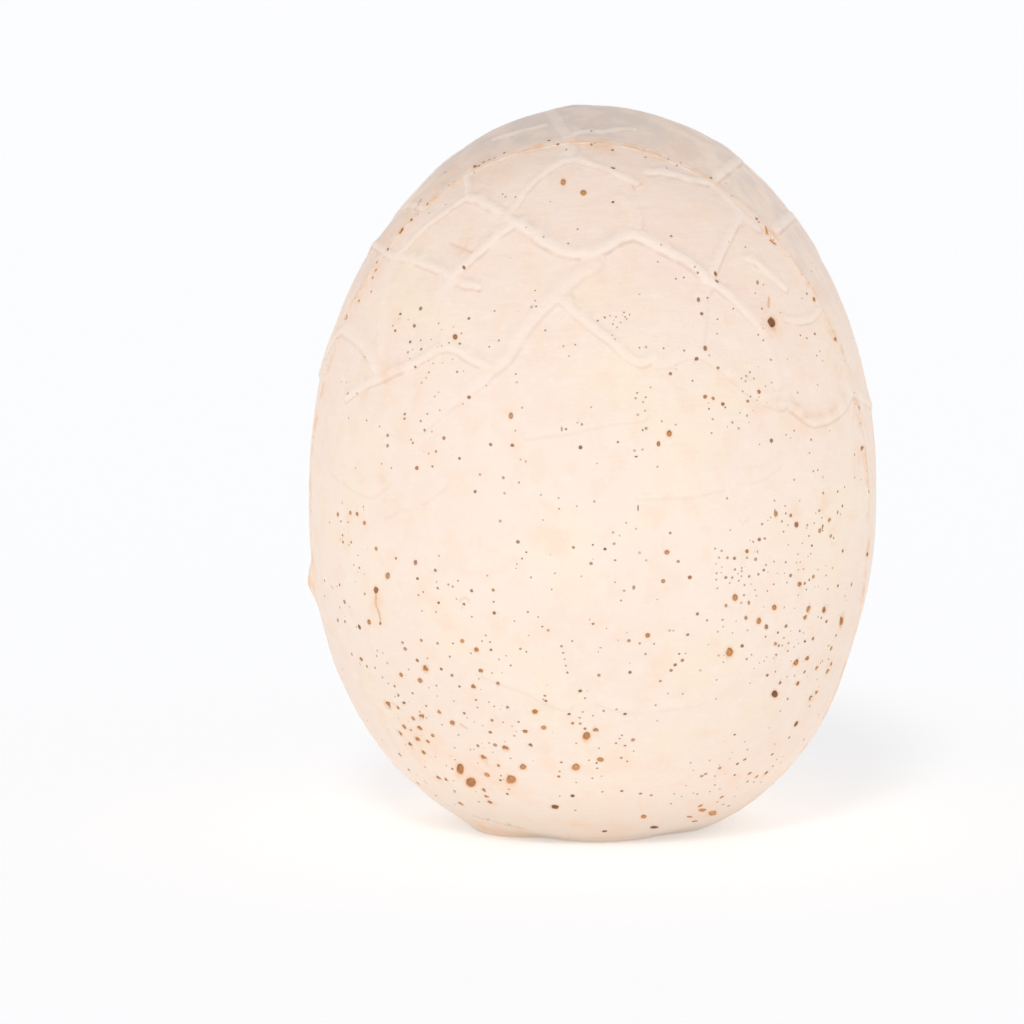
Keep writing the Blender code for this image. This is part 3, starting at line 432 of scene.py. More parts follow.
# On the hidden side: (azimuth in degrees, height in mm, their reaches, how many).
HIDDEN_DRIFTS = {
    "right": (118, 40, 22, 20, 40),
    "back_low": (165, 18, 28, 13, 55),
    "back": (195, 45, 25, 16, 35),
    "left_low": (232, 22, 22, 15, 45),
    "left": (258, 50, 16, 18, 20),
    "shoulders": (180, 95, 70, 20, 24),
}
SEAM_DUST = 40
# Fine pits' least and greatest width in mm: where larger ones were listed, and where not.
DUST_SIZES = (0.25, 0.45)
FINE_PIT_SIZES = (0.4, 1.0)
# The least gap to a fine pit's middle, and how far a nearly round pit leans at most.
PIT_GAP = 0.4 * MM
# The lean stays small so that the painted shade on a pit's upper wall stays upwards.
PIT_LEAN = math.radians(30)
# How far round a pit its hollow is worked out, in radii, and how far round it its stain is.
HOLLOW_REACH = 2
STAIN_REACH = 3
STAIN_MARGIN = 1 * MM
# A small pit's width varies by these shares, and a pit's height is such a share of its width.
SMALL_PIT_SPREAD = (0.9, 1.1)
ROUND_PIT_SHAPE = (0.8, 1)
FINE_PIT_SHAPE = (0.65, 1)
# Powers of the draws: small pits are commoner than large ones, and a drift is thicker in its middle.
FINE_PIT_POWER = 1.8
DRIFT_POWER = 0.6
# The dust along the seam: where it starts and ends, as shares of the seam's round from below, and how
# far aside it reaches in mm. A place on the seam is found in a few tries.
SEAM_DUST_STRETCH = (0.25, 0.75)
SEAM_DUST_ASIDE = 0.9
SEAM_TRIES = 3
# How dark a pit's filling is and how full, by its width: (least width in mm, darkness, fill).
PIT_TONES = [
    (0.85, (0, 0.25), (0.85, 1)),
    (0.55, (0.3, 0.85), (0.75, 0.95)),
    (0, (0.4, 0.9), (0.45, 0.85)),
]
BLACK_TONE = (0.75, 1)
# The way to the nearest pit in half widths, where none is near.
FAR_FROM_PITS = 9.0
SEED = 7

# Cracks and scratches: (depth in mm, how brown, bends across and up in mm).
CRACKS = {
    "cheek_groove": (0.22, 0.15, [(-27, 108.5), (-25, 107.6), (-22.7, 106.7)]),
    "worm_groove": (0.22, 0.5, [(-40.7, 43), (-40.7, 40.6), (-40.2, 39.4), (-39.9, 38), (-39.8, 37)]),
    "seam_crack": (0.3, 1, [(32.2, 111.2), (32.6, 110), (33.2, 109), (34.1, 108.2)]),
    "pit_crack": (0.2, 0.5, [(33, 98.2), (32.9, 96.5)]),
    "edge_crack": (0.2, 1, [(-36.1, 110.2), (-35.4, 110.8)]),
    "shoulder_tick": (0.15, 0.6, [(-32.3, 116.6), (-32.6, 115.2)]),
    "spur_notch": (0.15, 0.2, [(-22.8, 99.6), (-21.2, 99.3)]),
    "crown_notch": (0.15, 0.2, [(7.4, 119), (7.9, 118.3)]),
    "left_tick": (0.15, 0.6, [(-49.2, 44.6), (-48.8, 43.4)]),
    "low_scratch": (0.15, 0.5, [(-32.9, 8.8), (-31, 7.2)]),
    "low_tick": (0.15, 0.3, [(-24.8, 18.1), (-23.6, 17.4)]),
    "small_arc": (0.12, 0.15, [(-25, 41), (-24.6, 41.7), (-23.9, 41.9), (-23.2, 41.5), (-23.1, 41)]),
    "flank_tick": (0.12, 0.4, [(14, 39), (14.6, 40.2)]),
    "waist_line": (0.08, 0.06, [(9.2, 61.4), (14.5, 61.2), (21, 61.6)]),
    "lip_line": (0.4, 0.4, [(-22.2, 1), (-20.7, 0.5), (-18.2, 0), (-15.7, -0.8), (-12.5, -1.4)]),
}
CRACK_HALF_WIDTH = 0.32 * MM
CRACK_REACH = 3 * MM

# Soft lumps and dents of the casting: (across, up, reach, rise) in mm, on the front.
# The first is the small lump that stands out of the left edge.
SWELLS = [
    (-53, 44.8, 3.1, 1.5),
    (-34, 119, 12, -0.6),
    (37, 115, 11, -0.4),
    (22, 127.5, 7, 0.25),
    (50, 32, 10, -0.6),
]
# The foot's edge: a lip of flash at the left, a slight one in front, and a flat beside each. Each has its
# azimuth and half spread in degrees, and its reach out in mm.
FOOT_EDGE = [
    (-58, 20, 1.5),
    (-28, 14, -0.9),
    (6, 16, 0.3),
    (42, 20, -0.9),
]
FOOT_LIP_HEIGHT = 3.2 * MM
# The casting is a little uneven all over, in broad and in small waves: (size, rise) in mm.
WAVES = [(16, 0.16), (6, 0.07), (2.2, 0.04)]

# Orange stain sunk into the plaster: (across, up, reach in mm, strength).
STAINS = [
    (-38.5, 83.5, 1.5, 0.8),
    (-39.3, 86, 1.5, 0.4),
    (-36.4, 84.6, 1.2, 0.6),
    (-42.5, 79.5, 2.5, 0.25),
    (31, 76.5, 2, 0.4),
    (34, 77, 2, 0.4),
    (37.5, 77.7, 1.5, 0.6),
    (39.8, 75.8, 1.9, 0.9),
    (42.3, 75, 1.7, 0.7),
    (45, 76.7, 1.8, 0.7),
    (46.8, 79, 1.6, 0.5),
    (46, 84.5, 2.2, 0.45),
    (44.5, 91, 1.6, 0.4),
    (49.3, 76, 1.8, 0.5),
    (49.8, 69, 1.8, 0.5),
    (43, 95, 1.5, 0.4),
    (37.5, 103, 1.5, 0.4),
    (33.5, 93, 2.6, 0.5),
    (31.6, 96, 1, 0.4),
    (1, 126.1, 1.2, 1),
    (3, 125.7, 1, 0.6),
    (14, 124.7, 1.2, 0.6),
    (21.5, 120.4, 0.8, 0.7),
    (24.5, 118.4, 1, 0.4),
    (35.5, 107, 1.2, 0.5),
    (-19, 121.5, 6, 0.35),
    (-39.5, 109, 3, 0.5),
    (-34, 115.5, 3, 0.5),
    (-29, 120, 3, 0.45),
    (-24, 124, 3, 0.35),
    (-36, 111, 3, 0.5),
    (-41, 103, 3, 0.5),
    (-44.5, 97, 2.5, 0.45),
    (-30, 117, 3, 0.4),
    (-25, 121.5, 2.5, 0.4),
    (-47.5, 90, 2, 0.4),
    (17, 125.5, 3, 0.35),
    (-24, 106, 4, 0.25),
    (3, 99, 5, 0.2),
    (-39.1, 63.3, 1.5, 0.4),
    (-38.4, 58, 1.5, 0.4),
    (-36.6, 59.3, 1.3, 0.4),
    (38, 58.8, 1.3, 0.4),
    (43.3, 60, 1.3, 0.5),
    (44.8, 54.6, 1, 0.6),
    (-31, 69.2, 1.2, 0.35),
    (-36.7, 93.8, 1.2, 0.5),
    (-33, 16, 4, 0.3),
    (-21, 9, 5, 0.3),
    (-40.5, 41, 2, 0.5),
    (-52.5, 45, 3.2, 1),
    (-3, -0.2, 1.3, 0.6),
    (21, 2, 3, 0.45),
    (-20.5, -0.7, 1.8, 0.8),
    (-17, -1.7, 2, 0.8),
    (-13, -2.2, 2, 0.5),
    (0, -2.6, 8, 0.2),
]

# How the plaster's colour varies. Each fade has where it starts, where it is full and, unless that is 1,
# its strength there. Those by height or by the place across are in metres.
BLUSH_ABOVE = (62 * MM, 112 * MM, 0.45)
FOOT_TAN = (14 * MM, 0, 0.4)
LOWER_TAN = (60 * MM, 25 * MM, 0.1)
# The strip in front of the seam and the cap behind it take a grey painted shade, with some grime.
STRIP_HEIGHT = (108 * MM, 122 * MM, 0.24)
CAP_HEIGHT = (90 * MM, 116 * MM)
CAP_RIGHT = (23 * MM, -5 * MM, 0.37)
CAP_LEFT = (-42 * MM, -20 * MM)
CAP_BASE_SHADE_AND_DIRT = 0.12
# By the distance behind the mould seam in mm, for the cap there and the strip in front of it.
CAP_EDGE = (0.3, 2.5)
STRIP_FRONT = (-10, -2)
STRIP_BACK = (2.5, 0.3)
# By the distance from the seam in mm, for its stained band and the thin ridge on either side of it.
SEAM_BAND = (2.2, 0.4)
RIDGE_INSIDE = (0.3, 0.55)
RIDGE_OUTSIDE = (0.95, 0.65)
# By the way from a vein's crest in half widths, and by how far to the shaded side that is. The crest is
# paler, partly a painted highlight, and a painted shade with some grime lies along the shaded side.
VEIN_CREST = (0.95, 0.45, 0.55)
CREASE_INSIDE = (0.75, 1.0)
CREASE_OUTSIDE = (1.5, 1.15, 0.32)
CREASE_SHADE = (0.1, 0.7)
# By the distance from a crack in mm.
CRACK_LINE = (0.42, 0.12)
# By the way from a pit's middle in half widths, by the part of it that is upwards, and by its width in mm.
PIT_HALO = (2.0, 0.9, 0.58)
PIT_FILLING = (1.12, 0.85)
# A pit's rim is darkened all round by stain, and more on its upper wall by painted shade.
PIT_WALL = (0.25, 0.8)
PIT_UPPER_WALL = (-0.5, 0.8, 0.45)
PIT_WALL_SHADE = 0.3
HALO_WIDTHS = (0.3, 1.1)
# A pit's outline wobbles: the size of its waves, and how far they reach in half widths.
PIT_WOBBLE_SIZE = 0.6 * MM
PIT_WOBBLE = 0.25
# Specks are the finest pits: dots in some cells of a net, by the distance from a cell's middle in cells.
# The chance of one grows with the drift that it lies in. Its rise is in mm.
SPECK = (0.14, 0.08)
SPECK_CELL = 1.5 * MM
SPECK_CHANCE = 0.8
SPECK_LEAST_CHANCE = 0.02
SPECK_STRENGTH = 0.75
SPECK_RISE = -0.12
# What shows of a stain between its patches: in a spot, and in the seam's band.
SPOT_STAIN = 0.3
SEAM_BAND_STAIN = 0.06

CLOUD_ROUGHNESS = 0.5
# Patches where a cloud of noise is thick: the cloud's size, detail and shift, how thick it is where a
# patch starts and where it is full, and the patch's strength.
PATCHES = {
    "blush": (26 * MM, 3, 0, 0.38, 0.66, 0.3),
    "straw": (19 * MM, 3, 3.1, 0.47, 0.7, 0.55),
    "peach": (5 * MM, 5, 7.7, 0.46, 0.7, 0.6),
    "chalk": (3.5 * MM, 5, 12.1, 0.5, 0.75, 0.4),
    "flecks": (1.1 * MM, 2, 5.2, 0.62, 0.72, 0.45),
    # Where the cap's painted shade and grime are thicker.
    "cap_shade_and_dirt": (5 * MM, 6, 9.4, 0.35, 0.65, 0.4),
    "spots": (2.5 * MM, 4, 1.9, 0.35, 0.68, 0.7),
    "seam_stain": (3.5 * MM, 4, 4.4, 0.44, 0.66, 0.7),
    "ridges": (2.2 * MM, 3, 8.2, 0.42, 0.6, 0.7),
    "creases": (4 * MM, 2, 0, 0.25, 0.6, 1),
}
# Bumps: their cloud's size, detail and shift, and their rise in mm. Brush strokes are turned and flattened.
BUMPS = {
    "grain": (0.35 * MM, 3, 0, 0.02),
    "dimples": (2.4 * MM, 5, 2.2, 0.19),
    "brush_strokes": (7 * MM, 3, 0, 0.2),
    "ridges": (2.2 * MM, 3, 8.2, 0.12),
}
STROKE_TURN = (0.4, 0.3, 0.5)
STROKE_STRETCH = (1, 1, 5)
# The plaster's roughness varies by this much, with a cloud of this size, detail and shift.
SHEEN_SPREAD = 0.3
SHEEN_CLOUD = (9 * MM, 4, 6.3)
PLASTER_GLOSS = 0.35

# The studio's floor is a matte sheet just under the foot.
FLOOR_SIDES = 64
FLOOR_GAP = 0.1 * MM
SHEET_ROUGHNESS = 0.9
SHEET_GLOSS = 0.1


def upper_and_lower(points):
    """For each point, the curve's depth from the widest ring and its power, above or below it."""
    is_upper = points[:, 2] >= WIDEST_HEIGHT
    depth = np.where(is_upper, EGG_HEIGHT - WIDEST_HEIGHT, LOWER_DEPTH)
    power = np.where(is_upper, UPPER_POWER, LOWER_POWER)
    return depth, power


def shell_share(points):
    """How far out each point is, as a share of the way from the shell's middle to the shell."""
    depth, power = upper_and_lower(points)
    out = np.hypot(points[:, 0], points[:, 1]) / WIDEST_RADIUS
    along = np.abs(points[:, 2] - WIDEST_HEIGHT) / depth
    return (out ** power + along ** power) ** (1 / power)


def onto_shell(points):
    """Moves points to the plain shell, straight away from its middle."""
    return SHELL_MIDDLE + (points - SHELL_MIDDLE) / shell_share(points)[:, None]


def shell_normals(points):
    """Directions straight out of the plain shell at points on it."""
    depth, power = upper_and_lower(points)
    out = np.maximum(np.hypot(points[:, 0], points[:, 1]), TINY)
    rise = points[:, 2] - WIDEST_HEIGHT
    outward = (out / WIDEST_RADIUS) ** (power - 1) / WIDEST_RADIUS
    upward = np.sign(rise) * (np.abs(rise) / depth) ** (power - 1) / depth
    normals = np.stack([points[:, 0] / out * outward, points[:, 1] / out * outward, upward], axis=1)
    return normals / np.linalg.norm(normals, axis=1)[:, None]


def sphere_to_shell(points):
    """Stretches the points of a unit sphere to the plain shell, ring by ring."""
    level = points[:, 2]
    ring = np.sqrt(np.clip(1 - level ** 2, 0, 1))
    power = np.where(level >= 0, UPPER_POWER, LOWER_POWER)
    depth = np.where(level >= 0, EGG_HEIGHT - WIDEST_HEIGHT, LOWER_DEPTH)
    radius = WIDEST_RADIUS * ring ** (2 / power)
    height = WIDEST_HEIGHT + np.sign(level) * depth * np.abs(level) ** (2 / power)
    around = np.arctan2(points[:, 1], points[:, 0])
    return np.stack([radius * np.cos(around), radius * np.sin(around), height], axis=1)


def seen_place(across, up):
    """The point of the shell that the eye sees at the given millimetres across and up."""
    eye = EGG_MIDDLE + TOWARD_EYE * EYE_DISTANCE
    aim = EGG_MIDDLE + EYE_RIGHT * across * MM + EYE_UP * (up * MM - FOOT_BELOW_MIDDLE)
    half_height = EGG_HEIGHT / 2 / EYE_DISTANCE
    steps = np.linspace(1 - half_height, 1 + half_height / 2, SIGHT_STEPS)
    sight = eye + np.outer(steps, aim - eye)
    share = shell_share(sight)
    first = np.argmax(share < 1) if share.min() < 1 else np.argmin(share)
    return onto_shell(sight[first:first + 1])[0]


def turned_place(azimuth, height):
    """The point of the shell at an azimuth in degrees and a height in millimetres."""
    middle = np.array([(0, 0, height * MM)])
    depth, power = upper_and_lower(middle)
    along = np.abs(middle[:, 2] - WIDEST_HEIGHT) / depth
    radius = WIDEST_RADIUS * (1 - along ** power) ** (1 / power)
    turn = math.radians(azimuth)
    return middle[0] + radius[0] * np.array((math.sin(turn), -math.cos(turn), 0))


def smooth_path(corners):
    """A smooth curve on the shell through the corners, as points about VEIN_STEP apart."""
    ends = [2 * corners[0] - corners[1]] + corners + [2 * corners[-1] - corners[-2]]
    path = []
    for before, start, end, after in zip(ends, ends[1:], ends[2:], ends[3:]):
        count = max(1, round(np.linalg.norm(end - start) / VEIN_STEP))
        for step in range(count):
            t = step / count
            path.append(0.5 * (2 * start + (end - before) * t
                               + (2 * before - 5 * start + 4 * end - after) * t ** 2
                               + (3 * start - before - 3 * end + after) * t ** 3))
    path.append(corners[-1])
    return onto_shell(np.array(path))


def soft_noise(points, size, shift):
    """Smooth noise from -1 to 1 at each point, with lumps of about the given size in metres."""
    return np.array([noise.noise(Vector(point / size + shift)) for point in points])


def path_offsets(points, path, reach):
    """The points near a path, how far each is from it, and which way."""
    low = path.min(axis=0) - reach
    high = path.max(axis=0) + reach
    near = np.where(((points > low) & (points < high)).all(axis=1))[0]
    distance = np.full(len(near), np.inf)
    offset = np.zeros((len(near), 3))
    for start, end in zip(path, path[1:]):
        run = end - start
        along = np.clip((points[near] - start) @ run / (run @ run), 0, 1)
        away = points[near] - start - np.outer(along, run)
        length = np.linalg.norm(away, axis=1)
        closer = length < distance
        distance[closer] = length[closer]
        offset[closer] = away[closer]
    return near, distance, offset


def vein_paths():
    """Each vein's kind and its path on the shell."""
    paths = []
    for veins, place in ((FRONT_VEINS, seen_place), (HIDDEN_VEINS, turned_place)):
        for kind, bends in veins.values():
            paths.append((kind, smooth_path([place(*bend) for bend in bends])))
    return paths


def trace_veins(points, paths, relief):
    """For each point: how high the veins stand, the way to the nearest, on which side, and its rise.

    The way and the side are in shares of that vein's half width.
    """
    height = np.zeros(len(points))
    way = np.full(len(points), FAR_FROM_VEINS)
    side = np.zeros(len(points))
    rise = np.zeros(len(points))
    for kind, path in paths:
        half_width = VEIN_HALF_WIDTHS[kind]
        kind_rise = getattr(relief, kind + "_vein")
        near, away, offset = path_offsets(points, path, VEIN_REACH)
        away = away / half_width
        bead = np.clip(1 - away ** VEIN_POWER, 0, 1)
        height[near] += (kind_rise * bead) ** JOINT_POWER
        closer = away < way[near]
        chosen = near[closer]
        way[chosen] = away[closer]
        side[chosen] = offset[closer] @ CREASE_SIDE / half_width
        rise[chosen] = kind_rise
    return height ** (1 / JOINT_POWER), way, side, rise


def seam_distance(points):
    """How far each point is from the mould seam."""
    return np.abs(points @ SEAM_NORMAL + SEAM_FORWARD) / np.linalg.norm(SEAM_NORMAL)


def crack_traces(points):
    """For each point, how far the nearest crack is, how deep it is there, and how brown."""
    distance = np.full(len(points), CRACK_REACH)
    depth = np.zeros(len(points))
    brown = np.zeros(len(points))
    for crack_depth, crack_brown, bends in CRACKS.values():
        path = smooth_path([seen_place(*bend) for bend in bends])
        near, away, _ = path_offsets(points, path, CRACK_REACH)
        closer = away < distance[near]
        chosen = near[closer]
        distance[chosen] = away[closer]
        depth[chosen] = crack_depth * MM * np.clip(1 - (away[closer] / CRACK_HALF_WIDTH) ** 2, 0, 1)
        brown[chosen] = crack_brown
    return distance, depth, brown


def spots_on_front(points, spots):
    """Soft round spots added up: each spot is (across, up, reach in mm, strength)."""
    total = np.zeros(len(points))
    for across, up, reach, strength in spots:
        away = np.linalg.norm(points - seen_place(across, up), axis=1)
        total += strength * np.exp(-(away / (reach * MM)) ** 2)
    return total


def foot_relief(points):
    """The lip of flash and the flats round the edge of the foot."""
    azimuth = np.degrees(np.arctan2(points[:, 0], -points[:, 1]))
    fade = np.clip(1 - points[:, 2] / FOOT_LIP_HEIGHT, 0, 1) ** 2
    relief = np.zeros(len(points))
    for middle, spread, reach_out in FOOT_EDGE:
        relief += reach_out * MM * np.exp(-((azimuth - middle) / spread) ** 2)
    return relief * fade


class Pit:
    """One bubble pit: its middle on the shell, its width and depth, and its stain."""

    def __init__(self, middle, width, height, right, up, darkness, fill):
        self.middle = middle
        self.narrow = min(width, height) * MM
        self.radius = max(width, height) * MM / 2
        self.frame = np.outer(right, (2 / (width * MM), 0)) + np.outer(up, (0, 2 / (height * MM)))
        self.darkness = darkness
        self.fill = fill

    def offsets(self, points):
        """Where points lie from the pit's middle, in shares of its half width and half height."""
        return (points - self.middle) @ self.frame


def lay_pit(middle, width, height, turn, darkness, fill):
    """A pit laid flat on the shell and turned there."""
    normal = shell_normals(middle[None])[0]
    level = np.cross((0, 0, 1), normal)
    level = level / np.linalg.norm(level)
    steep = np.cross(normal, level)
    right = math.cos(turn) * level + math.sin(turn) * steep
    up = math.cos(turn) * steep - math.sin(turn) * level
    return Pit(middle, width, height, right, up, darkness, fill)


def pit_tone(place, width, dice):
    """How dark a pit's filling is and how full. Wide ones hold orange stain, narrow ones look darker."""
    if place in BLACK_PITS:
        return BLACK_TONE
    for least, darkness, fill in PIT_TONES:
        if width >= least:
            return dice.uniform(*darkness), dice.uniform(*fill)


def placed_pits(dice):
    """The pits that were placed one by one.

    One with a height as well as a width is an oval as the eye sees it. The others are nearly round.
    """
    pits = []
    front = [pit for group in FRONT_PITS.values() for pit in group] + SEAM_PITS
    for width, small in SMALL_PITS.items():
        front += [(across, up, width * dice.uniform(*SMALL_PIT_SPREAD)) for across, up in small]
    for places, place in ((front, seen_place), (HIDDEN_PITS, turned_place)):
        for across, up, width, *height in places:
            tone = pit_tone((across, up), width, dice)
            middle = place(across, up)
            if height:
                pits.append(Pit(middle, width, height[0], EYE_RIGHT, EYE_UP, *tone))
            else:
                turn = dice.uniform(-PIT_LEAN, PIT_LEAN)
                pits.append(lay_pit(middle, width, width * dice.uniform(*ROUND_PIT_SHAPE), turn, *tone))
    return pits


def keep_apart(pits, middle):
    """Whether a new pit at that middle would be clear of the others."""
    return all(np.linalg.norm(pit.middle - middle) > pit.radius + PIT_GAP for pit in pits)


def fine_pit(middle, sizes, dice):
    """A fine pit with a chance size and stain. Small ones are commoner."""
    smallest, largest = sizes
    width = smallest + (largest - smallest) * dice.random() ** FINE_PIT_POWER
    height = width * dice.uniform(*FINE_PIT_SHAPE)
    turn = dice.uniform(0, math.pi)
    return lay_pit(middle, width, height, turn, *pit_tone(None, width, dice))


def scatter_pits(pits, dice):
    """Adds the fine pits of each drift, and the dust of them along the mould seam."""
    for drifts, place, sizes in (
        (FRONT_DRIFTS, seen_place, DUST_SIZES),
        (HIDDEN_DRIFTS, turned_place, FINE_PIT_SIZES),
    ):
        for across, up, reach_across, reach_up, count in drifts.values():
            for _ in range(count):
                turn = dice.uniform(0, 2 * math.pi)
                out = dice.random() ** DRIFT_POWER
                aside = reach_across * out * math.cos(turn)
                above = reach_up * out * math.sin(turn)
                middle = place(across + aside, up + above)
                pit = fine_pit(middle, sizes, dice)
                if keep_apart(pits, middle):
                    pits.append(pit)
    for _ in range(SEAM_DUST):
        turn = dice.uniform(*SEAM_DUST_STRETCH) * math.pi
        middle = seam_place(turn, dice.uniform(-SEAM_DUST_ASIDE, SEAM_DUST_ASIDE) * MM)
        pit = fine_pit(middle, DUST_SIZES, dice)
        if keep_apart(pits, middle):
            pits.append(pit)


def seam_place(turn, aside):
    """The point of the shell on the seam, at twice the turn round from below, moved aside from it."""
    angle = turn * 2 - math.pi / 2
    middle = SHELL_MIDDLE + np.array((2 * math.cos(angle), 0, 2 * math.sin(angle))) * WIDEST_RADIUS
    for _ in range(SEAM_TRIES):
        middle = onto_shell(middle[None])[0]
        gap = (middle @ SEAM_NORMAL + SEAM_FORWARD) / (SEAM_NORMAL @ SEAM_NORMAL)
        middle = middle - SEAM_NORMAL * gap
    middle = middle + SEAM_NORMAL / np.linalg.norm(SEAM_NORMAL) * aside
    return onto_shell(middle[None])[0]


def make_pits():
    """All the pits of the casting."""
    dice = random.Random(SEED)
    pits = placed_pits(dice)
    scatter_pits(pits, dice)
    return pits


def pit_relief(points, pits, depth_share):
    """The hollows of the bubble pits, round-bottomed."""
    relief = np.zeros(len(points))
    for pit in pits:
        near = np.where((np.abs(points - pit.middle) < HOLLOW_REACH * pit.radius).all(axis=1))[0]
        away = np.linalg.norm(pit.offsets(points[near]), axis=1)
        hollow = np.sqrt(np.clip(1 - away ** 2, 0, 1))
        relief[near] = np.minimum(relief[near], -pit.narrow * depth_share * hollow)
    return relief


def shape_points(editor, move):
    """Moves every vertex of the mesh being edited by a function of all their places."""
    places = move(np.array([vertex.co[:] for vertex in editor.verts]))
    for vertex, place in zip(editor.verts, places):
        vertex.co = place


def near_relief(points, veins, pits, reach):
    """Which points lie near the casting's relief."""
    near = seam_distance(points) < reach["seam"]
    near |= np.abs(points[:, 2]) < reach["foot"]
    if reach["vein"]:
        for _, path in veins:
            among, away, _ = path_offsets(points, path, reach["vein"])
            near[among[away < reach["vein"]]] = True
    for pit in pits:
        if pit.radius >= reach["least"]:
            near |= np.linalg.norm(points - pit.middle, axis=1) < pit.radius + reach["pit"]
    near |= crack_traces(points)[0] < 2 * reach["pit"]
    return near


def split_near_relief(editor, veins, pits):
    """Splits the edges near the relief, round by round, so that it has points enough."""
    for reach in SPLIT_ROUNDS:
        near = near_relief(np.array([vertex.co[:] for vertex in editor.verts]), veins, pits, reach)
        editor.verts.index_update()
        edges = [edge for edge in editor.edges if all(near[vertex.index] for vertex in edge.verts)]
        bmesh.ops.subdivide_edges(editor, edges=edges, cuts=reach["cuts"], use_grid_fill=True)
        bmesh.ops.triangulate(editor, faces=editor.faces)
        shape_points(editor, onto_shell)


def worn_share(points, share, spread, size, shift):
    """How much of a feature's height wear has left at each point."""
    return share + spread * soft_noise(points, size, shift)


def all_relief(points, veins, pits, relief):
    """How far the casting stands out from the plain shell at each point."""
    vein_height = trace_veins(points, veins, relief)[0] * worn_share(points, **VEIN_WEAR)
    seam_share = np.clip(1 - (seam_distance(points) / SEAM_HALF_WIDTH) ** 2, 0, 1) ** SEAM_POWER
    seam_height = relief.seam_rise * seam_share * worn_share(points, **SEAM_WEAR)
    total = np.maximum(vein_height, seam_height)
    total += spots_on_front(points, SWELLS) * MM
    total += foot_relief(points)
    for size, rise in WAVES:
        total += rise * MM * relief.unevenness * soft_noise(points, size * MM, size)
    total -= crack_traces(points)[1]
    return total + pit_relief(points, pits, relief.pit_depth)


def trim_foot(editor):
    """Cuts the egg flat at the foot and closes the cut."""
    whole = editor.verts[:] + editor.edges[:] + editor.faces[:]
    bmesh.ops.bisect_plane(editor, geom=whole, plane_co=(0, 0, 0), plane_no=(0, 0, 1), clear_inner=True)
    rim = [edge for edge in editor.edges if edge.is_boundary]
    closed = bmesh.ops.edgeloop_fill(editor, edges=rim)
    for edge in rim:
        edge.smooth = False
    bmesh.ops.recalc_face_normals(editor, faces=editor.faces)
    bmesh.ops.poke(editor, faces=closed["faces"])
    bmesh.ops.triangulate(editor, faces=editor.faces)


def write_values(mesh, name, kind, domain, values):
    """Stores values on the mesh for its material to read."""
    layer = mesh.attributes.new(name, kind, domain)
    key = "vector" if kind == "FLOAT_VECTOR" else "value"
    layer.data.foreach_set(key, values.astype(np.float32).ravel())


def mark_veins(mesh, points, veins, relief):
    """Stores each point's way to the nearest vein and its side, in half widths, and a share of rise."""
    _, way, side, rise = trace_veins(points, veins, relief)
    trace = np.stack([way, side, rise / relief.bold_vein], axis=1)
    write_values(mesh, "vein_trace", "FLOAT_VECTOR", "POINT", trace)


def mark_stains(mesh, points):
    """Stores each point's orange stain, its share of speckle, and the crack beside it."""
    speckle = np.zeros(len(points))
    for across, up, reach_across, reach_up, count in FRONT_DRIFTS.values():
        reach = (reach_across + reach_up) / 2
        away = np.linalg.norm(points - seen_place(across, up), axis=1)
        speckle += count / reach ** 2 * np.exp(-(away / (reach * MM)) ** 2)
    for azimuth, height, _, height_reach, count in HIDDEN_DRIFTS.values():
        away = np.linalg.norm(points - turned_place(azimuth, height), axis=1)
        speckle += count / height_reach ** 2 * np.exp(-(away / (height_reach * MM)) ** 2)
    distance, _, brown = crack_traces(points)
    trace = np.stack([distance / MM, brown, np.zeros(len(points))], axis=1)
    write_values(mesh, "orange_stain", "FLOAT", "POINT", spots_on_front(points, STAINS))
    write_values(mesh, "speckle", "FLOAT", "POINT", speckle)
    write_values(mesh, "crack_trace", "FLOAT_VECTOR", "POINT", trace)


def mark_pits(mesh, points, pits):
    """Stores, on each face's corners, their way to that face's nearest pit in shares of its radius."""
    corners = np.empty(len(mesh.loops), dtype=np.int32)
    mesh.loops.foreach_get("vertex_index", corners)
    corners = corners.reshape(-1, 3)
    centres = points[corners].mean(axis=1)
    nearest = np.zeros(len(corners), dtype=int)
    closest = np.full(len(corners), np.inf)
    for index, pit in enumerate(pits):
        reach = STAIN_REACH * pit.radius + STAIN_MARGIN
        near = np.where((np.abs(centres - pit.middle) < reach).all(axis=1))[0]
        share = np.linalg.norm(pit.offsets(centres[near]), axis=1)
        closer = share < closest[near]
        closest[near[closer]] = share[closer]
        nearest[near[closer]] = index
    middles = np.array([pit.middle for pit in pits])
    frames = np.array([pit.frame for pit in pits])
    kinds = np.array([(pit.darkness, pit.narrow / MM, pit.fill) for pit in pits])
    offsets = np.full((len(corners), 3, 3), FAR_FROM_PITS)
    offsets[:, :, :2] = (points[corners] - middles[nearest][:, None]) @ frames[nearest]
    offsets[:, :, 2] = np.where(np.isinf(closest), FAR_FROM_PITS, 0)[:, None]
    write_values(mesh, "pit_offset", "FLOAT_VECTOR", "CORNER", offsets)
    write_values(mesh, "pit_kind", "FLOAT_VECTOR", "CORNER", np.repeat(kinds[nearest], 3, axis=0))


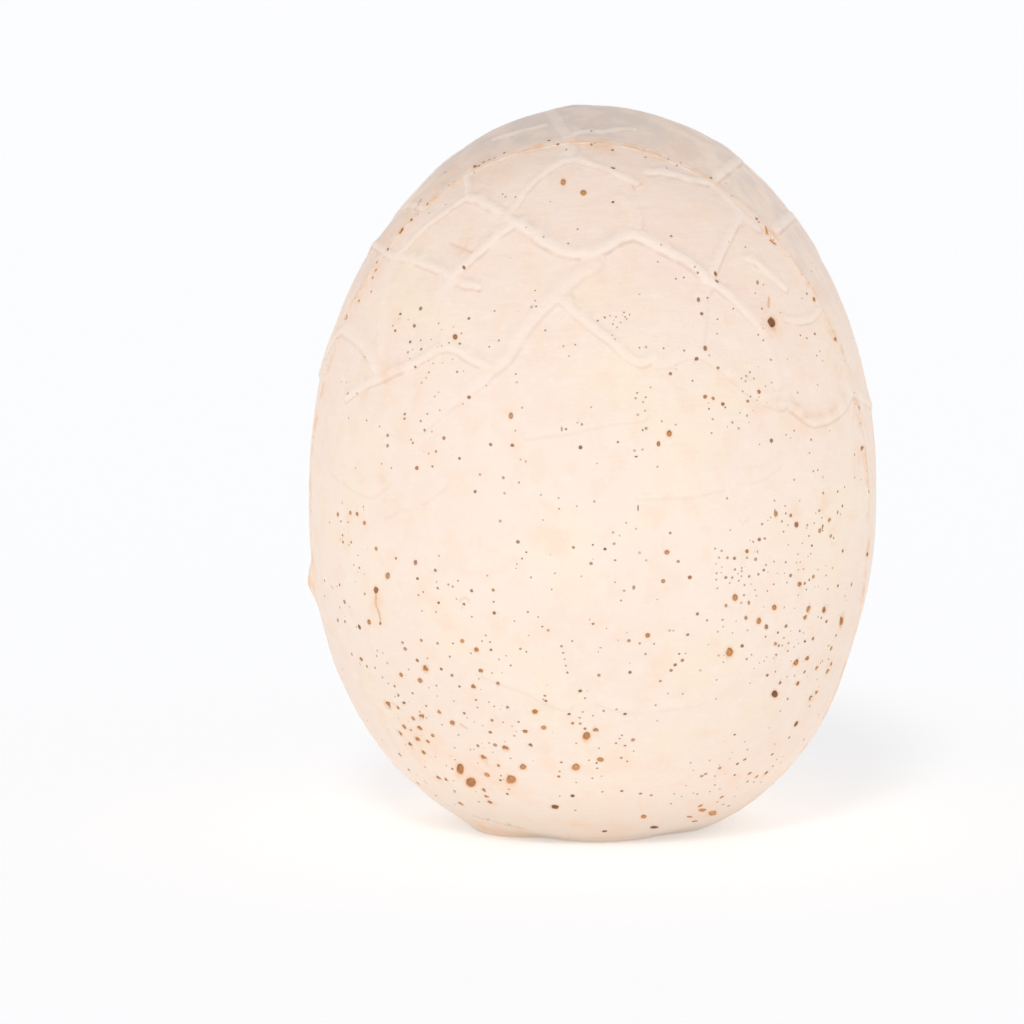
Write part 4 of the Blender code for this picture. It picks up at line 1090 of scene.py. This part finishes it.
class NodeBench:
    """Adds nodes to one material and wires them."""

    def __init__(self, name):
        self.material = bpy.data.materials.new(name)
        self.material.use_nodes = True
        self.tree = self.material.node_tree
        self.shader = self.tree.nodes["Principled BSDF"]

    def feed(self, socket, value):
        """Links a socket to another, or sets its value."""
        if isinstance(value, bpy.types.NodeSocket):
            self.tree.links.new(value, socket)
        else:
            socket.default_value = value

    def add(self, kind, inputs, **settings):
        """Adds a node, with its inputs by name or number and its other settings."""
        node = self.tree.nodes.new(kind)
        for name, value in settings.items():
            setattr(node, name, value)
        for key, value in inputs.items():
            self.feed(node.inputs[key], value)
        return node

    def reckon(self, operation, first, *others):
        """Takes a row of numbers together by one operation, from left to right."""
        for other in others:
            first = self.add("ShaderNodeMath", {0: first, 1: other}, operation=operation).outputs[0]
        return first

    def plus(self, *numbers):
        """The numbers added together."""
        return self.reckon("ADD", *numbers)

    def times(self, *numbers):
        """The numbers multiplied together."""
        return self.reckon("MULTIPLY", *numbers)

    def fade(self, value, start, full, strength=1.0):
        """A smooth change from 0 at the start to the strength where it is full, on either side of it."""
        ends = (0, strength) if start < full else (strength, 0)
        inputs = {"Value": value, "From Min": min(start, full), "From Max": max(start, full)}
        inputs.update({"To Min": ends[0], "To Max": ends[1]})
        return self.add("ShaderNodeMapRange", inputs, interpolation_type="SMOOTHSTEP").outputs[0]

    def tint(self, share, base, colour):
        """Lays a colour over the base by a share."""
        inputs = {0: share}
        for key, paint in ((6, base), (7, colour)):
            inputs[key] = paint if isinstance(paint, bpy.types.NodeSocket) else (*paint, 1)
        return self.add("ShaderNodeMix", inputs, data_type="RGBA").outputs[2]

    def cloud(self, place, size, detail, shift=0):
        """Soft noise from 0 to 1 with lumps of the given size in metres."""
        move = {"Vector": place, "Location": (shift, shift, shift)}
        moved = self.add("ShaderNodeMapping", move).outputs[0]
        inputs = {"Vector": moved, "Scale": 1 / size, "Detail": detail, "Roughness": CLOUD_ROUGHNESS}
        return self.add("ShaderNodeTexNoise", inputs).outputs["Fac"]

    def patches(self, place, name):
        """Soft patches of one kind, at their strength where its cloud is thick."""
        size, detail, shift, *thickness = PATCHES[name]
        return self.fade(self.cloud(place, size, detail, shift), *thickness)

    def bumps(self, place, name):
        """Soft bumps of one kind, in mm."""
        size, detail, shift, rise = BUMPS[name]
        return self.times(self.cloud(place, size, detail, shift), rise)

    def stored(self, name):
        """A value that the mesh stores: its vector and its number."""
        node = self.add("ShaderNodeAttribute", {}, attribute_name=name)
        return node.outputs["Vector"], node.outputs["Fac"]

    def parts(self, vector):
        """The three parts of a vector."""
        return self.add("ShaderNodeSeparateXYZ", {0: vector}).outputs[:]


def mottle(bench, place, colours):
    """The plaster's own colour: cream, with a blush above and in patches, other patches, and tan below."""
    height = bench.parts(place)[2]
    blush = bench.plus(bench.fade(height, *BLUSH_ABOVE), bench.patches(place, "blush"))
    colour = bench.tint(blush, colours.cream, colours.blush)
    paints = (colours.straw, colours.peach, colours.crest, colours.crest)
    for name, paint in zip(("straw", "peach", "chalk", "flecks"), paints):
        colour = bench.tint(bench.patches(place, name), colour, paint)
    tan = bench.plus(bench.fade(height, *FOOT_TAN), bench.fade(height, *LOWER_TAN))
    return bench.tint(tan, colour, colours.tan)


def shade_the_top(bench, place, colour, colours):
    """A grey painted shade, with some grime, over the cap behind the seam, and faintly over a strip in
    front of it.
    """
    across, _, height = bench.parts(place)
    side = seam_side(bench, place)
    strip = bench.times(bench.fade(side, *STRIP_FRONT), bench.fade(side, *STRIP_BACK))
    colour = bench.tint(bench.times(strip, bench.fade(height, *STRIP_HEIGHT)), colour, colours.top_shade_and_dirt)
    middle = bench.times(bench.fade(across, *CAP_RIGHT), bench.fade(across, *CAP_LEFT))
    cap_shade_and_dirt = bench.plus(bench.patches(place, "cap_shade_and_dirt"), middle, CAP_BASE_SHADE_AND_DIRT)
    cap = bench.times(bench.fade(side, *CAP_EDGE), bench.fade(height, *CAP_HEIGHT), cap_shade_and_dirt)
    return bench.tint(cap, colour, colours.top_shade_and_dirt)


def seam_side(bench, place):
    """How far a place lies behind the mould seam's plane in mm."""
    length = np.linalg.norm(SEAM_NORMAL) * MM
    slope = tuple(SEAM_NORMAL / length)
    leaning = bench.add("ShaderNodeVectorMath", {0: place, 1: slope}, operation="DOT_PRODUCT")
    return bench.plus(leaning.outputs["Value"], SEAM_FORWARD / length)


def seam_way(bench, place):
    """The distance from the mould seam's plane in mm."""
    return bench.add("ShaderNodeMath", {0: seam_side(bench, place)}, operation="ABSOLUTE").outputs[0]


def seam_ridges(bench, place):
    """Where the two thin ridges of the seam are."""
    seam = seam_way(bench, place)
    return bench.times(bench.fade(seam, *RIDGE_INSIDE), bench.fade(seam, *RIDGE_OUTSIDE))


def stain(bench, place, colour, colours):
    """Orange stain in spots and along the seam, where the thin ridges are rubbed pale."""
    patchy = bench.plus(bench.patches(place, "spots"), SPOT_STAIN)
    colour = bench.tint(bench.times(bench.stored("orange_stain")[1], patchy), colour, colours.orange)
    patchy = bench.plus(bench.patches(place, "seam_stain"), SEAM_BAND_STAIN)
    band = bench.times(bench.fade(seam_way(bench, place), *SEAM_BAND), patchy)
    colour = bench.tint(band, colour, colours.orange)
    ridges = bench.times(seam_ridges(bench, place), bench.patches(place, "ridges"))
    return bench.tint(ridges, colour, colours.crest)


def line_veins(bench, place, colour, colours):
    """Paler crests, partly painted highlight, painted shade and grime along the veins' shaded side, and
    brown cracks.
    """
    way, side, rise = bench.parts(bench.stored("vein_trace")[0])
    colour = bench.tint(bench.times(bench.fade(way, *VEIN_CREST), rise), colour, colours.crest)
    crease_shade_and_dirt = bench.times(bench.fade(way, *CREASE_INSIDE), bench.fade(way, *CREASE_OUTSIDE))
    crease_shade_and_dirt = bench.times(crease_shade_and_dirt, bench.fade(side, *CREASE_SHADE), rise, bench.patches(place, "creases"))
    colour = bench.tint(crease_shade_and_dirt, colour, colours.crease_shade_and_dirt)
    crack, brown, _ = bench.parts(bench.stored("crack_trace")[0])
    return bench.tint(bench.times(bench.fade(crack, *CRACK_LINE), brown), colour, colours.pit_orange)


def colour_pits(bench, place, colour, colours):
    """Stain in the bubble pits, darker at the rim with painted shade above, a pale orange halo, and a dust
    of specks in the drifts.
    """
    offset, _ = bench.stored("pit_offset")
    darkness, width, fill = bench.parts(bench.stored("pit_kind")[0])
    length = bench.add("ShaderNodeVectorMath", {0: offset}, operation="LENGTH").outputs["Value"]
    wobble = bench.times(bench.plus(bench.cloud(place, PIT_WOBBLE_SIZE, 1), -0.5), PIT_WOBBLE)
    way = bench.plus(length, wobble)
    halo = bench.times(bench.fade(way, *PIT_HALO), bench.fade(width, *HALO_WIDTHS))
    colour = bench.tint(halo, colour, colours.orange)
    filling = bench.tint(darkness, colours.pit_orange, colours.pit_dark)
    upper_wall = bench.fade(bench.parts(offset)[1], *PIT_UPPER_WALL)
    shade = bench.times(bench.fade(way, *PIT_WALL), bench.plus(upper_wall, PIT_WALL_SHADE))
    filling = bench.tint(shade, filling, colours.pit_rim_stain_and_shade)
    colour = bench.tint(bench.times(bench.fade(way, *PIT_FILLING), fill), colour, filling)
    return bench.tint(bench.times(specks(bench, place), SPECK_STRENGTH), colour, colours.pit_dark)


def specks(bench, place):
    """Where the finest pits are: small dots in some cells of a random net."""
    cells = bench.add("ShaderNodeTexVoronoi", {"Vector": place, "Scale": 1 / SPECK_CELL})
    dots = bench.fade(cells.outputs["Distance"], *SPECK)
    draw = bench.add("ShaderNodeSeparateColor", {0: cells.outputs["Color"]}).outputs[0]
    chance = bench.plus(bench.times(bench.stored("speckle")[1], SPECK_CHANCE), SPECK_LEAST_CHANCE)
    return bench.times(dots, bench.reckon("LESS_THAN", draw, chance))


def roughen(bench, place):
    """Fine grain, shallow brush strokes, the seam's two thin ridges and the finest pits, as bump in mm."""
    stroke_settings = {"Vector": place, "Rotation": STROKE_TURN, "Scale": STROKE_STRETCH}
    strokes = bench.add("ShaderNodeMapping", stroke_settings).outputs[0]
    height = bench.plus(
        bench.bumps(place, "grain"),
        bench.bumps(place, "dimples"),
        bench.bumps(strokes, "brush_strokes"),
        bench.times(seam_ridges(bench, place), bench.bumps(place, "ridges")),
        bench.times(specks(bench, place), SPECK_RISE),
    )
    return bench.add("ShaderNodeBump", {"Height": height, "Distance": MM, "Strength": 1.0}).outputs[0]


def make_plaster(colours):
    """Cream casting plaster, matte, with stained pits."""
    bench = NodeBench("stained_casting_plaster")
    place = bench.add("ShaderNodeTexCoord", {}).outputs["Object"]
    colour = mottle(bench, place, colours)
    for finish in (shade_the_top, stain, line_veins, colour_pits):
        colour = finish(bench, place, colour, colours)
    sheen = bench.times(bench.cloud(place, *SHEEN_CLOUD), SHEEN_SPREAD)
    bench.feed(bench.shader.inputs["Base Color"], colour)
    bench.feed(bench.shader.inputs["Roughness"], bench.plus(sheen, colours.roughness - SHEEN_SPREAD / 2))
    bench.feed(bench.shader.inputs["Normal"], roughen(bench, place))
    bench.shader.inputs["Specular IOR Level"].default_value = PLASTER_GLOSS
    return bench.material


def amount_setting(name, description, default):
    """A number from 0 up that the user may change."""
    return FloatProperty(name=name, description=description, default=default, min=0)


def share_setting(name, description, default, greatest=1):
    """A share that the user may change."""
    return FloatProperty(
        name=name, description=description, default=default, min=0, max=greatest, subtype="FACTOR",
    )


def angle_setting(name, description, degrees, greatest):
    """An angle that the user may change."""
    return FloatProperty(
        name=name, description=description, default=math.radians(degrees),
        min=0, max=math.radians(greatest), unit="ROTATION", subtype="ANGLE",
    )


def length_setting(name, description, default):
    """A length that the user may change."""
    return FloatProperty(
        name=name, description=description, default=default, min=0, unit="LENGTH", precision=5,
    )


def colour_setting(name, description, default):
    """A colour that the user may change."""
    return FloatVectorProperty(
        name=name, description=description, default=default, min=0, max=1, subtype="COLOR",
    )


class CastRelief(bpy.types.PropertyGroup):
    """How strongly the casting's relief stands."""

    bold_vein: length_setting("Bold vein", "How high the boldest veins stand", 0.55 * MM)
    strong_vein: length_setting("Strong vein", "How high the strong veins stand", 0.46 * MM)
    plain_vein: length_setting("Plain vein", "How high the plainer veins stand", 0.37 * MM)
    slim_vein: length_setting("Slim vein", "How high the narrow veins stand", 0.37 * MM)
    soft_vein: length_setting("Soft vein", "How high the worn veins stand", 0.28 * MM)
    faint_vein: length_setting("Faint vein", "How high the faintest lines stand", 0.14 * MM)
    seam_rise: length_setting("Seam rise", "How high the mould seam stands", 0.3 * MM)
    pit_depth: share_setting("Pit depth", "A bubble pit's depth as a share of its width", 0.42)
    unevenness: share_setting("Unevenness", "How strongly the skin waves", 1, greatest=2)


class PlasterColours(bpy.types.PropertyGroup):
    """The plaster's colours, as linear values."""

    cream: colour_setting("Cream", "The plaster's main colour", (0.95, 0.805, 0.69))
    blush: colour_setting("Blush", "Pink patches, most of them near the top", (0.95, 0.735, 0.62))
    straw: colour_setting("Straw", "Yellowish patches", (0.96, 0.81, 0.62))
    peach: colour_setting("Peach", "Small warm patches", (0.95, 0.73, 0.575))
    tan: colour_setting("Tan", "The browner skin round the foot", (0.65, 0.59, 0.525))
    # Grey painted shade, with some grime, on the top behind the seam and faintly in front of it.
    top_shade_and_dirt: colour_setting("Grey wash", "The duller skin behind the seam's top", (0.70, 0.59, 0.52))
    # On the veins' crests this paler colour is partly a painted highlight.
    crest: colour_setting("Crest", "The rubbed, paler tops of veins and seam", (0.97, 0.84, 0.74))
    # Painted shade, with some grime, along the shaded side of a vein.
    crease_shade_and_dirt: colour_setting("Crease", "Dirt along the foot of a vein", (0.46, 0.36, 0.32))
    orange: colour_setting("Orange stain", "Stain sunk into the plaster", (0.90, 0.55, 0.32))
    pit_orange: colour_setting("Pit stain", "Stain in the wide pits", (0.66, 0.29, 0.09))
    # Stain, with painted shade on the upper wall, that darkens a pit's rim.
    pit_rim_stain_and_shade: colour_setting("Burnt stain", "The darker rim of a pit's stain", (0.22, 0.08, 0.025))
    pit_dark: colour_setting("Dark pit", "Dirt in the narrow pits", (0.10, 0.055, 0.035))
    roughness: share_setting("Roughness", "How matte the plaster is", 0.62)


class StudioLight(bpy.types.PropertyGroup):
    """The floor, the light tent and the key light."""

    floor_radius: length_setting("Floor radius", "How far the floor reaches", 9.0)
    floor_colour: colour_setting("Floor", "The floor's pale colour", (0.92, 0.92, 0.92))
    # The floor's glow is painted light from the floor itself, with no lamp below it.
    floor_glow: share_setting("Floor glow", "Light that the translucent floor lets up from below", 0.25)
    tent_wall: colour_setting("Tent wall", "The light tent's bright walls", (1.0, 1.0, 1.0))
    tent_top: colour_setting("Tent top", "The light tent's dimmer top", (0.22, 0.23, 0.26))
    tent_strength: amount_setting("Tent strength", "How bright the tent is", 1.1)
    key_strength: amount_setting("Key strength", "The main light's watts per square metre", 0.55)
    key_spread: angle_setting("Key spread", "How wide the main light looks from the egg", 12, 180)
    key_height: angle_setting("Key height", "How far up the main light stands, seen from the egg", 40, 90)
    key_turn: angle_setting("Key turn", "How far the main light stands to the left of the front", 8, 180)


def finished_mesh(editor, name):
    """The mesh that was being edited, under its name."""
    mesh = bpy.data.meshes.new(name)
    editor.to_mesh(mesh)
    editor.free()
    return mesh


class EGG_OT_cast_skin(bpy.types.Operator):
    """Casts the egg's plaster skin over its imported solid"""

    bl_idname = "egg.cast_skin"
    bl_label = "Cast the egg"

    def execute(self, context):
        relief = context.scene.egg_relief
        veins = vein_paths()
        pits = make_pits()

        def cast(points):
            rise = all_relief(points, veins, pits, relief)
            return points + shell_normals(points) * rise[:, None]

        editor = bmesh.new()
        bmesh.ops.create_icosphere(editor, subdivisions=SPHERE_LEVEL, radius=1)
        shape_points(editor, sphere_to_shell)
        split_near_relief(editor, veins, pits)
        shape_points(editor, cast)
        trim_foot(editor)
        if any(not edge.is_manifold for edge in editor.edges):
            raise RuntimeError("the egg's skin isn't closed")
        mesh = finished_mesh(editor, "egg_skin")
        mesh.shade_smooth()
        points = onto_shell(np.array([vertex.co[:] for vertex in mesh.vertices]))
        mark_veins(mesh, points, veins, relief)
        mark_stains(mesh, points)
        mark_pits(mesh, points, pits)
        mesh.materials.append(make_plaster(context.scene.egg_colours))
        skin = bpy.data.objects.new("egg_skin", mesh)
        context.scene.collection.objects.link(skin)
        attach(skin, BODY)
        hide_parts(NODE)
        return {"FINISHED"}


def make_floor(studio):
    """A plain pale floor whose slight glow is painted light: it keeps the floor white and lights the egg a
    little from below.
    """
    editor = bmesh.new()
    bmesh.ops.create_circle(editor, cap_ends=True, segments=FLOOR_SIDES, radius=studio.floor_radius)
    bmesh.ops.translate(editor, verts=editor.verts, vec=(0, 0, -FLOOR_GAP))
    mesh = finished_mesh(editor, "studio_floor")
    bench = NodeBench("studio_floor_sheet")
    finish = {
        "Base Color": (*studio.floor_colour, 1),
        "Roughness": SHEET_ROUGHNESS,
        "Specular IOR Level": SHEET_GLOSS,
        "Emission Color": (1, 1, 1, 1),
        "Emission Strength": studio.floor_glow,
    }
    for name, value in finish.items():
        bench.shader.inputs[name].default_value = value
    mesh.materials.append(bench.material)
    return bpy.data.objects.new("studio_floor", mesh)


def make_key_light(studio):
    """A large soft light in front, above and a little to the left."""
    light = bpy.data.lights.new("key_light", "SUN")
    light.energy = studio.key_strength
    light.angle = studio.key_spread
    lamp = bpy.data.objects.new("key_light", light)
    out = math.cos(studio.key_height)
    aside = out * math.sin(studio.key_turn)
    forward = out * math.cos(studio.key_turn)
    way = Vector((-aside, -forward, math.sin(studio.key_height)))
    lamp.location = Vector(EGG_MIDDLE) + way * EYE_DISTANCE
    lamp.rotation_euler = way.to_track_quat("Z", "Y").to_euler()
    return lamp


def make_tent(studio):
    """A light tent all round, with bright walls and a dimmer top."""
    world = bpy.data.worlds.new("light_tent")
    world.use_nodes = True
    nodes = world.node_tree.nodes
    nodes["Background"].inputs["Strength"].default_value = studio.tent_strength
    links = world.node_tree.links
    way = nodes.new("ShaderNodeTexCoord")
    height = nodes.new("ShaderNodeSeparateXYZ")
    blend = nodes.new("ShaderNodeMix")
    blend.data_type = "RGBA"
    blend.inputs[6].default_value = (*studio.tent_wall, 1)
    blend.inputs[7].default_value = (*studio.tent_top, 1)
    rise = nodes.new("ShaderNodeMath")
    rise.operation = "MULTIPLY"
    links.new(way.outputs["Generated"], height.inputs[0])
    links.new(height.outputs["Z"], rise.inputs[0])
    links.new(height.outputs["Z"], rise.inputs[1])
    links.new(rise.outputs[0], blend.inputs[0])
    links.new(blend.outputs[2], nodes["Background"].inputs["Color"])
    return world


def make_camera():
    """The camera at the photographed angle."""
    camera = bpy.data.cameras.new("camera")
    camera.sensor_width = SENSOR_WIDTH
    camera.lens = SENSOR_WIDTH * EYE_DISTANCE / PICTURE_WIDTH
    viewer = bpy.data.objects.new("camera", camera)
    eye = Vector(EGG_MIDDLE + TOWARD_EYE * EYE_DISTANCE)
    aim = Vector(EGG_MIDDLE + EYE_RIGHT * PICTURE_ACROSS + EYE_UP * PICTURE_UP)
    viewer.location = eye
    viewer.rotation_euler = (eye - aim).to_track_quat("Z", "Y").to_euler()
    return viewer


class EGG_OT_set_stage(bpy.types.Operator):
    """Sets up the floor, the light and the camera"""

    bl_idname = "egg.set_stage"
    bl_label = "Set up the studio"

    def execute(self, context):
        studio = context.scene.egg_studio
        floor = make_floor(studio)
        lamp = make_key_light(studio)
        viewer = make_camera()
        for thing in (floor, lamp, viewer):
            context.scene.collection.objects.link(thing)
        context.scene.world = make_tent(studio)
        context.scene.camera = viewer
        context.scene.view_settings.view_transform = "Standard"
        return {"FINISHED"}


class EGG_PT_sidebar(bpy.types.Panel):
    """Lists the egg's settings and its two steps"""

    bl_idname = "EGG_PT_sidebar"
    bl_label = "Cast ostrich egg"
    bl_space_type = "VIEW_3D"
    bl_region_type = "UI"
    bl_category = "Egg"

    def draw(self, context):
        for key in GROUPS:
            group = getattr(context.scene, key)
            box = self.layout.box()
            for name in group.__annotations__:
                box.prop(group, name)
        for operator in OPERATORS:
            self.layout.operator(operator.bl_idname)


GROUPS = {
    "egg_relief": (CastRelief, "Relief", "The casting's relief"),
    "egg_colours": (PlasterColours, "Plaster", "The plaster's colours"),
    "egg_studio": (StudioLight, "Studio", "The studio's light"),
}
OPERATORS = (EGG_OT_cast_skin, EGG_OT_set_stage)


def register():
    """Makes the settings, the two steps and the panel known to Blender."""
    for name, (group, label, description) in GROUPS.items():
        bpy.utils.register_class(group)
        setattr(bpy.types.Scene, name, PointerProperty(type=group, name=label, description=description))
    for each in (*OPERATORS, EGG_PT_sidebar):
        bpy.utils.register_class(each)


def unregister():
    """Takes them out again."""
    for each in (EGG_PT_sidebar, *OPERATORS):
        bpy.utils.unregister_class(each)
    for name, (group, _, _) in GROUPS.items():
        delattr(bpy.types.Scene, name)
        bpy.utils.unregister_class(group)


def main():
    """Casts the egg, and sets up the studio."""
    register()
    bpy.ops.egg.cast_skin()
    bpy.ops.egg.set_stage()


if __name__ == "__main__":
    main()
